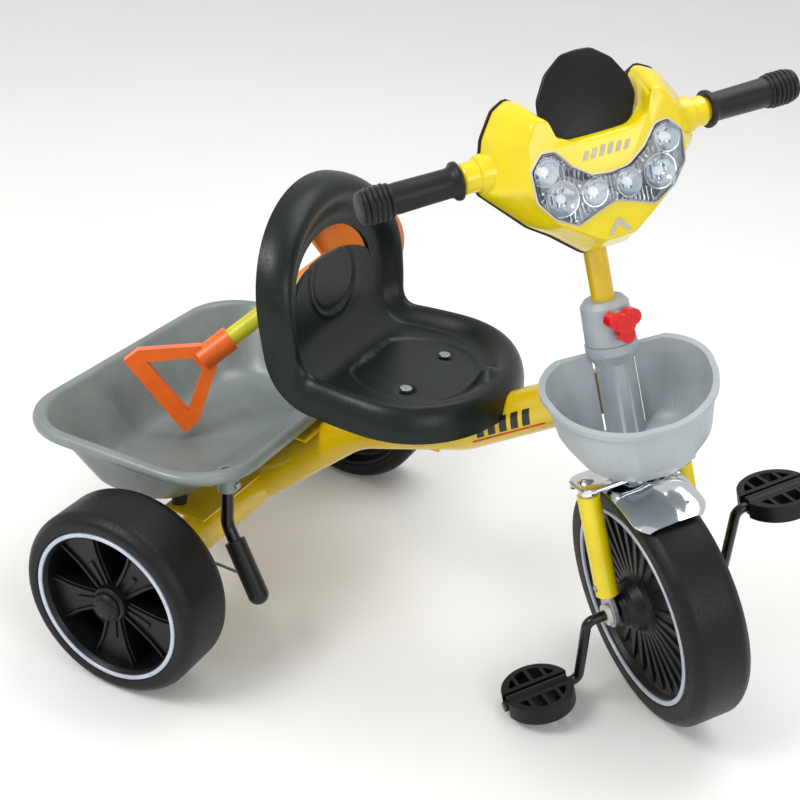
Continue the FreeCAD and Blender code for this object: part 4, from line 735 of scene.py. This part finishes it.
def buildTub():
    low = tub["floorZ"]
    top = tub["rimZ"]
    wall = tub["wall"]

    def share(z):
        return (z - low) / (top - low)
    foot = [(0, 0, -9), (0, 0, -3.5), (0, 1.2, -0.8), (share(low + 4), 4, 0)]
    rim = [(-12.5, 0), (-12, 3), (-11.6, 6), (-10, 7.6), (-6, 8.2), (-2.6, 7.2), (-0.6, 4.8), (0, 2),
            (-0.3, -1), (-1.6, -3.4), (-5, -5.2)]
    bottom = [(share(low + 14), 14, -2.2), (share(low + 8), 8, -4.5), (0.02, 5, -8), (0, 3.6, -14),
            (0, 3, -20)]
    loops = [tubLoop(grown, low + z, out) for grown, z, out in foot]
    loops += [tubLoop(share(z), z, 0) for z in (low + 12, low + 28, low + 46, top - 17)]
    loops += [tubLoop(1, top + z, out) for z, out in rim]
    loops += [tubLoop(share(z), z, -wall - 1.4) for z in (top - 16, low + 46, low + 28)]
    loops += [tubLoop(grown, low + z, out - wall) for grown, z, out in bottom]
    lugs = [box((-117, side * 62 - 3, 112), (-93, side * 62 + 3, low + 1)) for side in (-1, 1)]
    socket = spun(rounded([(6.6, -26), (10.5, -26), (10.5, -4), (6.6, -4)], [0, 1.5, 1, 0], 3), 32)
    parts = merge(rings(loops), *lugs, moved(socket, millimetre(58, -150, top)))
    piece("tubShell", parts, "tub", "tub_grey", ["rear_tub"], rearPlace, bevel=0.5, angle=60)


buildTub()

# Lamp cowl.
barPlace = millimetre(17, 0, 448)
cowl = {"split": 12, "face": 58, "tail": -24, "points": 140}
edgeHalf = [(30, 462), (47, 474), (56, 503), (74, 494), (88, 474), (101, 432), (62, 392), (44, 380),
        (17, 357)]
faceHalf = [(26, 460), (44, 468), (50, 488), (61, 482), (70, 466), (74, 430), (50, 396), (36, 386),
        (15, 372)]
tailHalf = [(24, 470), (38, 476), (44, 488), (58, 482), (70, 468), (80, 434), (52, 404), (36, 392),
        (15, 378)]
lensHalf = [(0, 428), (17, 430), (33, 441), (46, 457), (58, 458), (69, 446), (68, 420), (55, 403),
        (36, 392), (17, 399), (0, 404)]


# Mirrored outline starting at the top centre, as (across, up) pairs.
def bothSides(half, radius, count):
    full = [(y, z) for y, z in half] + [(-y, z) for y, z in reversed(half) if y > 0.01]
    first = (0, half[0][1])
    if half[0][0] > 0.01:
        full = [first] + full
    soft = rounded([(y, z, 0) for y, z in full], radius, 4)
    return [(p.x, p.y) for p in resample(soft, count)]


# Loops between two outlines; each depth is (x, share of the second outline, inset).
def cowlLoops(first, second, depths):
    loops = []
    for x, share, inset in depths:
        centre = Vector((0, 425))
        loop = []
        for a, b in zip(first, second):
            spot = Vector(a).lerp(Vector(b), share)
            spot += (centre - spot).normalized() * inset
            loop.append((x, spot.x, spot.y))
        loops.append(loop)
    return loops


# Room for the handlebar through both halves of the cowl.
def barSpace():
    halves = []
    for side in (-1, 1):
        stub = spun([(0, 50), (11.5, 50), (11.5, 130), (0, 130)], 40, closed=False)
        halves.append(moved(stub, barPlace @ turn(90 * side, "X")))
    return toObject("barSpace", merge(*halves))


def buildCowl():
    edge = bothSides(edgeHalf, 7, cowl["points"])
    face = bothSides(faceHalf, 6, cowl["points"])
    tail = bothSides(tailHalf, 6, cowl["points"])
    split = cowl["split"]
    front = cowl["face"]
    depths = [(split, 0, 0), (split + 10, 0.06, 0), (split + 22, 0.3, 0), (front - 14, 0.66, 0),
            (front - 6, 0.9, 0), (front - 2, 0.98, 0.6), (front - 0.4, 1, 1.8), (front, 1, 3.6)]
    hollow = [(front - 4, 1, 6), (front - 14, 0.7, 3.5), (split + 8, 0.05, 3), (split, 0, 3)]
    skin = cowlLoops(edge, face, depths)[::-1] + cowlLoops(edge, face, hollow)[::-1]
    parts = toObject("cowlFront", rings(skin))
    window = [(front - 24, y, z) for y, z in bothSides(lensHalf, 4, 96)]
    bar = barSpace()
    cutWith(parts, toObject("windowSpace", prism(window, (40, 0, 0))), bar)
    piece("cowlFront", parts, "bars", "cowl_yellow", ["cowl_front"], forkPlace, bevel=0.8, angle=42,
            segments=2)
    sleeves = []
    for side in (-1, 1):
        sleeve = spun(rounded([(11.4, 82), (17.5, 80), (16.2, 100), (13.6, 101), (13.2, 113), (12, 115),
                (11.4, 115)], [0, 1, 1.4, 1.4, 1, 0.8, 0], 3), 48)
        sleeves.append(moved(sleeve, barPlace @ turn(-90 * side, "X")))
    piece("cowlSleeves", merge(*sleeves), "bars", "cowl_yellow", [], forkPlace, bevel=0.3, angle=50)
    depthsBack = [(split - 0.6, 0, -1.6), (split - 3, 0, -1.8), (split - 14, 0.35, 0),
            (cowl["tail"] + 12, 0.74, 0), (cowl["tail"] + 3, 0.96, 0.8), (cowl["tail"] + 0.6, 1, 2),
            (cowl["tail"], 1, 4)]
    hollowBack = [(cowl["tail"] + 4, 1, 6), (split - 12, 0.3, 3.2), (split - 0.6, 0, 2.2)]
    skin = cowlLoops(edge, tail, depthsBack)[::-1] + cowlLoops(edge, tail, hollowBack)[::-1]
    rear = toObject("cowlRear", rings(skin))
    bar = barSpace()
    cutWith(rear, bar)
    piece("cowlRear", rear, "bars", "black_plastic", ["cowl_rear"], forkPlace, bevel=0.6, angle=42)
    clasps = [moved(spun(rounded([(11.4, 82), (16.6, 80), (15.4, 99), (11.4, 99)], [0, 1, 1.4, 0], 3), 48),
            millimetre(12, 0, 447) @ turn(-90 * side, "X")) for side in (-1, 1)]
    piece("cowlClasps", merge(*clasps), "bars", "black_plastic", [], forkPlace, bevel=0.3, angle=50)

    outline = bothSides(lensHalf, 4, 96)
    centre = Vector((0, 424))

    def lensLoop(x, inset):
        loop = []
        total = len(outline)
        for i, spot in enumerate(outline):
            before = Vector(outline[i - 1])
            after = Vector(outline[(i + 1) % total])
            way = (after - before).normalized()
            inward = Vector((way.y, -way.x))
            if inward.dot(centre - Vector(spot)) < 0 and abs(spot[0]) > 60:
                inward = -inward
            place = Vector(spot) + inward * inset
            loop.append((x, place.x, place.y))
        return loop
    lens = rings([lensLoop(front - 1, 0.4), lensLoop(front + 1.5, 0.2), lensLoop(front + 3.4, 1.2),
            lensLoop(front + 4, 3.2)])
    piece("lampLens", lens, "bars", "lens_clear", ["lamp_lens"], forkPlace, bevel=0.3, angle=35)
    bezel = rings([lensLoop(front - 0.8, -1.3), lensLoop(front + 0.8, -1.1), lensLoop(front + 1.6, -0.2),
            lensLoop(front + 1.2, 0.9), lensLoop(front - 0.8, 1.2)], close=True)
    piece("lampBezel", bezel, "bars", "bulb_clear", [], forkPlace, angle=50, material=inks["lensEdge"])
    tray = rings([lensLoop(front - 14, 0.6), lensLoop(front - 0.6, 0.6), lensLoop(front - 0.6, 1.6),
            lensLoop(front - 12, 3.2)])
    cups = []
    bulbs = []
    for y, z, size in ((-56, 442, 11), (-45, 417, 14), (-16, 415, 11), (16, 415, 11), (45, 417, 14),
            (56, 442, 11)):
        aim = millimetre(front - 12, y, z) @ turn(90, "Y")
        cups.append(moved(spun([(0, 0), (size * 0.35, 0.8), (size * 0.7, 3.4), (size * 0.95, 7.6),
                (size, 9), (size + 0.8, 9), (size + 0.9, 0)], 40, closed=False), aim))
        bulbs.append(moved(spun([(0, 9.4), (2, 9), (3.4, 7.4), (3.8, 5), (3, 2.6), (3, 0), (0, 0)], 24,
                closed=False), aim))
    for y in range(-62, 63, 4):
        low, high, middle = (-34, 30, 425) if abs(y) < 40 else (-22, 26, 428)
        cups.append(moved(box((0, -0.6, low), (1.6, 0.6, high)), millimetre(front - 12, y, middle)))
    reflector = toObject("reflector", merge(tray, *cups))
    keepSpace = toObject("keepSpace", prism([(front - 15, y, z) for _, y, z in lensLoop(0, 0.8)],
            (20, 0, 0)))
    modifier = reflector.modifiers.new("inside", "BOOLEAN")
    modifier.operation = "INTERSECT"
    modifier.solver = "EXACT"
    modifier.use_self = True
    modifier.object = keepSpace
    settle(reflector)
    bpy.data.objects.remove(keepSpace)
    piece("lampReflector", reflector, "bars", "reflector_silver", ["lamp_reflector"], forkPlace, angle=40)
    piece("lampBulbs", merge(*bulbs), "bars", "bulb_clear", ["lamp_bulbs"], forkPlace, angle=50)

    screenHalf = [(0, 72), (14, 71), (31, 59), (43, 40), (45, 25), (33, 4), (0, 0)]
    outline = bothSides(screenHalf, 13, 90)
    loops = []
    for x, inset in ((0, 1.2), (0.6, 0.2), (2.4, 0), (3.6, 0.6), (4.2, 2)):
        loop = []
        for y, z in outline:
            away = Vector((y, z - 36))
            spot = away * (1 - inset / max(away.length, 1))
            loop.append((x - 0.0028 * y * y, spot.x, spot.y + 36))
        loops.append(loop)
    screen = rings(loops)
    piece("cowlScreen", screen, "bars", "black_plastic", ["cowl_screen"],
            forkPlace @ millimetre(front - 14, 0, 457) @ turn(-14, "Y"), bevel=0.4, angle=45)
    film = front + 0.15
    bars = []
    for y in (-23, -15.5, -8, -0.5, 7, 14.5):
        top = 452 - abs(y + 3) * 0.1
        bars.append(prism([(film, y, 443), (film, y + 4, 443), (film, y + 7.5, top), (film, y + 3.5, top)],
                (0.25, 0, 0)))
    arrow = [(-11, 376.5), (-6, 376.5), (0, 384), (6, 376.5), (11, 376.5), (2, 389), (-2, 389)]
    chevron = prism([(film, y, z) for y, z in arrow], (0.25, 0, 0))
    piece("cowlMarks", merge(chevron, *bars), "bars", "cowl_yellow", [], forkPlace, material=inks["silver"])


buildCowl()
print("cowl made")

# Grips.
grip = {"start": 117, "end": 205, "bulb": 15.6, "ribs": 6}


def buildGrips():
    profile = [(10.9, grip["start"]), (16.4, grip["start"]), (16.6, grip["start"] + 2),
            (16, grip["start"] + 4), (13.6, grip["start"] + 5.4), (12.6, grip["start"] + 9),
            (12.8, grip["start"] + 30), (13.2, grip["end"] - 34), (12.9, grip["end"] - 30)]
    pitch = 4.4
    for i in range(grip["ribs"]):
        base = grip["end"] - 28.5 + i * pitch
        size = grip["bulb"] - (0.9 if i in (0, grip["ribs"] - 1) else 0)
        profile += [(size - 1.8, base), (size - 0.3, base + 0.7), (size, base + 1.6),
                (size - 0.3, base + 2.6), (size - 1.8, base + 3.4)]
    profile += [(13.4, grip["end"] - 1), (10, grip["end"] + 0.7), (0, grip["end"] + 0.9)]
    full = [(0, grip["end"] - 2.5), (10.9, grip["end"] - 2.5)] + profile
    for side, name in ((-1, "Right"), (1, "Left")):
        bm = spun(full, 48, closed=False)
        piece("grip" + name, bm, "bars", "grip_black", ["grip_" + name.lower()],
                forkPlace @ barPlace @ turn(-90 * side, "X"), angle=55)


buildGrips()


# Printed marks on the main tube.
marks = {"startX": 238, "startZ": 244, "endAt": 222, "radius": 22.75, "film": 0.15, "steps": 8, "bars": 5,
        "firstBar": 22, "barPitch": 13}


# A patch of film on the tube; each corner is (distance along, degrees round from the right side).
def tubePatch(left0, left1, right0, right1):
    start = Vector((layout["rearX"] + marks["startX"], 0, marks["startZ"]))
    end = hubPlace @ (steerAxis * marks["endAt"])
    along = (end - start).normalized()
    side = Vector((0, -1, 0))
    up = side.cross(along).normalized()
    steps = marks["steps"]
    under = []
    for i in range(steps + 1):
        for first, last in ((left0, left1), (right0, right1)):
            distance, angle = Vector(first).lerp(Vector(last), i / steps)
            way = side * math.cos(math.radians(angle)) + up * math.sin(math.radians(angle))
            under.append(start + along * distance + way * marks["radius"])
    over = [p + (p - (start + along * (p - start).dot(along))).normalized() * marks["film"] for p in under]
    total = len(under)
    last = 2 * steps
    faces = []
    for i in range(steps):
        a, b, c, d = 2 * i, 2 * i + 1, 2 * i + 3, 2 * i + 2
        faces += [(a, b, c, d), (a + total, d + total, c + total, b + total)]
        faces += [(a, d, d + total, a + total), (b, b + total, c + total, c)]
    faces += [(0, total, total + 1, 1), (last, last + 1, total + last + 1, total + last)]
    return shell(under + over, faces)


def buildTubeMarks():
    bars = []
    for i in range(marks["bars"]):
        foot = marks["firstBar"] + i * marks["barPitch"]
        bars.append(tubePatch((foot, -18), (foot + 6, 22), (foot + 8, -18), (foot + 14, 22)))
    still = Matrix.Identity(4)
    piece("tubeMarksDark", merge(*bars), "frame", "frame_yellow", [], still, material=inks["black"])
    line = tubePatch((14, -29), (15, -24), (96, -29), (97, -24))
    piece("tubeMarksRed", line, "frame", "frame_yellow", [], still, material=inks["red"])


buildTubeMarks()

# Fork crown with its mudguard.
crown = {"z": 137, "length": 46, "half": 60.5, "corner": 13, "guardRadius": 131, "back": 42, "front": 34,
        "guardHalf": 37, "steps": 30, "across": 12, "rivetX": 14, "rivetY": 30, "domeY": 49}


# The chromed mudguard: an arch over the tyre with a ridge along its middle and turned-down edges.
def buildGuard():
    steps = crown["steps"]
    outside = []
    inside = []
    for i in range(steps + 1):
        angle = math.radians(-crown["back"] + (crown["back"] + crown["front"]) * i / steps)
        ends = min(i, steps - i) / steps
        wide = crown["guardHalf"] * (1 - 0.28 * max(0, 1 - ends / 0.09) ** 2)
        rowOut = []
        rowIn = []
        for j in range(crown["across"] + 1):
            share = -1 + 2 * j / crown["across"]
            drop = 3.5 * abs(share) ** 6 - 1.2 * math.exp(-(share / 0.12) ** 2)
            for row, thick in ((rowOut, 1.5), (rowIn, 0.2)):
                radius = crown["guardRadius"] + thick - drop
                row.append(Vector((radius * math.sin(angle), wide * share, radius * math.cos(angle))))
        outside.append(rowOut)
        inside.append(rowIn[::-1])
    return rings([a + b for a, b in zip(outside, inside)])


def buildCrown():
    half = crown["half"]
    length = crown["length"] / 2
    z = crown["z"]
    corners = [(length, -half, 0), (length, half, 0), (-length, half, 0), (-length, -half, 0)]
    plate = rounded(corners, crown["corner"], 6)
    edges = ((0.975, 0), (0.995, 0.5), (1, 1.4), (1, 2.8), (0.99, 3.6), (0.965, 4))
    parts = [rings([[(p[0] * k, p[1] * k, z + h) for p in plate] for k, h in edges]), buildGuard()]
    parts.append(spun(rounded([(11, 130), (17, 130), (16, 137.5), (11, 137.5)], [0, 1, 1, 0], 3), 40))
    x, y = crown["rivetX"], crown["rivetY"]
    for spot in ((x, y), (x, -y), (-x, y), (-x, -y)):
        rivet = spun([(0, 2.2), (2.4, 1.9), (3.6, 0.8), (4, -0.5), (0, -0.5)], 20, closed=False)
        parts.append(moved(rivet, millimetre(*spot, z + 4)))
    for side in (-1, 1):
        dome = spun([(0, 4.4), (4, 3.8), (7, 1.6), (8.4, -0.5), (0, -0.5)], 32, closed=False)
        parts.append(moved(dome, millimetre(0, side * crown["domeY"], z + 3.8)))
    piece("forkCrown", merge(*parts), "fork", "chrome", ["fork_crown"], forkPlace, angle=40)


buildCrown()

# Pieces carried over with softened edges.
edgeSizes = {"front_basket": 0, "pedal_right": 0.9, "pedal_left": 0.9, "shovel_handle": 1.6,
        "shovel_blade": 1.2, "clamp_knob": 1.2, "stem_collar": 0.8, "fork_ends": 0.5, "leg_covers": 0.8,
        "seat_bracket": 0.6}


# A merged copy of a carried-over node with rounded edges and smooth curves.
def softened(name):
    bm = bmesh.new()
    bm.from_mesh(nodes[name].data)
    bmesh.ops.remove_doubles(bm, verts=bm.verts, dist=0.00001)
    bmesh.ops.dissolve_limit(bm, angle_limit=math.radians(1.5), verts=bm.verts, edges=bm.edges)
    words = name.split("_")
    title = words[0] + "".join(word.capitalize() for word in words[1:])
    piece(title, bm, bodyOf[name], slotOf[name], [name], bevel=edgeSizes.get(name, 0.4), angle=32,
            segments=3)


for name in sorted(nodes):
    if name not in replaced:
        softened(name)
print("pieces made:", len(made))

# Floor, light and camera.
floor = toObject("paleFloor", rings([[(-6, -6, -0.01), (6, -6, -0.01), (6, 6, -0.01), (-6, 6, -0.01)],
        [(-6, -6, 0), (6, -6, 0), (6, 6, 0), (-6, 6, 0)]]))
floor.data.materials.append(finish("paleFloorPaint", "#F4F4F2", "#F1F1EF", (0.6, 0.7), grain=2, bump=0.02,
        mottle=400))

world = bpy.data.worlds.new("studio")
bpy.context.scene.world = world
world.use_nodes = True
world.node_tree.nodes["Background"].inputs["Color"].default_value = linear("#FFFFFF")
world.node_tree.nodes["Background"].inputs["Strength"].default_value = 0.74


def softLight(name, place, size, power):
    lamp = bpy.data.lights.new(name, "AREA")
    lamp.shape = "RECTANGLE"
    lamp.size, lamp.size_y = size
    lamp.energy = power
    obj = bpy.data.objects.new(name, lamp)
    bpy.context.scene.collection.objects.link(obj)
    obj.location = place
    obj.rotation_mode = "QUATERNION"
    obj.rotation_quaternion = (Vector((0, 0, 0.28)) - Vector(place)).to_track_quat("-Z", "Y")


softLight("keyLight", (-0.9, -1.5, 2.1), (1.1, 0.8), 30)
softLight("fillLight", (1.9, -1.1, 1.2), (1.0, 1.0), 10)
softLight("topLight", (0.3, 0.7, 2.3), (1.6, 1.2), 18)

cameraData = bpy.data.cameras.new("camera")
camera = bpy.data.objects.new("camera", cameraData)
bpy.context.scene.collection.objects.link(camera)
bpy.context.scene.camera = camera
view = {"place": (0.43931, -1.02981, 0.86539), "azimuth": 24.56, "elevation": 28.43, "roll": 4.87,
        "focal": 57.395, "sensor": 36}
azimuth, elevation, roll = (math.radians(view[key]) for key in ("azimuth", "elevation", "roll"))
right = Vector((math.cos(azimuth), math.sin(azimuth), 0))
level = math.cos(elevation)
ahead = -Vector((math.sin(azimuth) * level, -math.cos(azimuth) * level, math.sin(elevation)))
above = right.cross(ahead)
rightRolled = math.cos(roll) * right + math.sin(roll) * above
aboveRolled = -math.sin(roll) * right + math.cos(roll) * above
facing = Matrix((rightRolled, aboveRolled, -ahead)).transposed().to_4x4()
camera.matrix_world = Matrix.Translation(view["place"]) @ facing
cameraData.sensor_width = view["sensor"]
cameraData.lens = view["focal"]
cameraData.clip_start = 0.05
bpy.context.scene.view_settings.view_transform = "Standard"
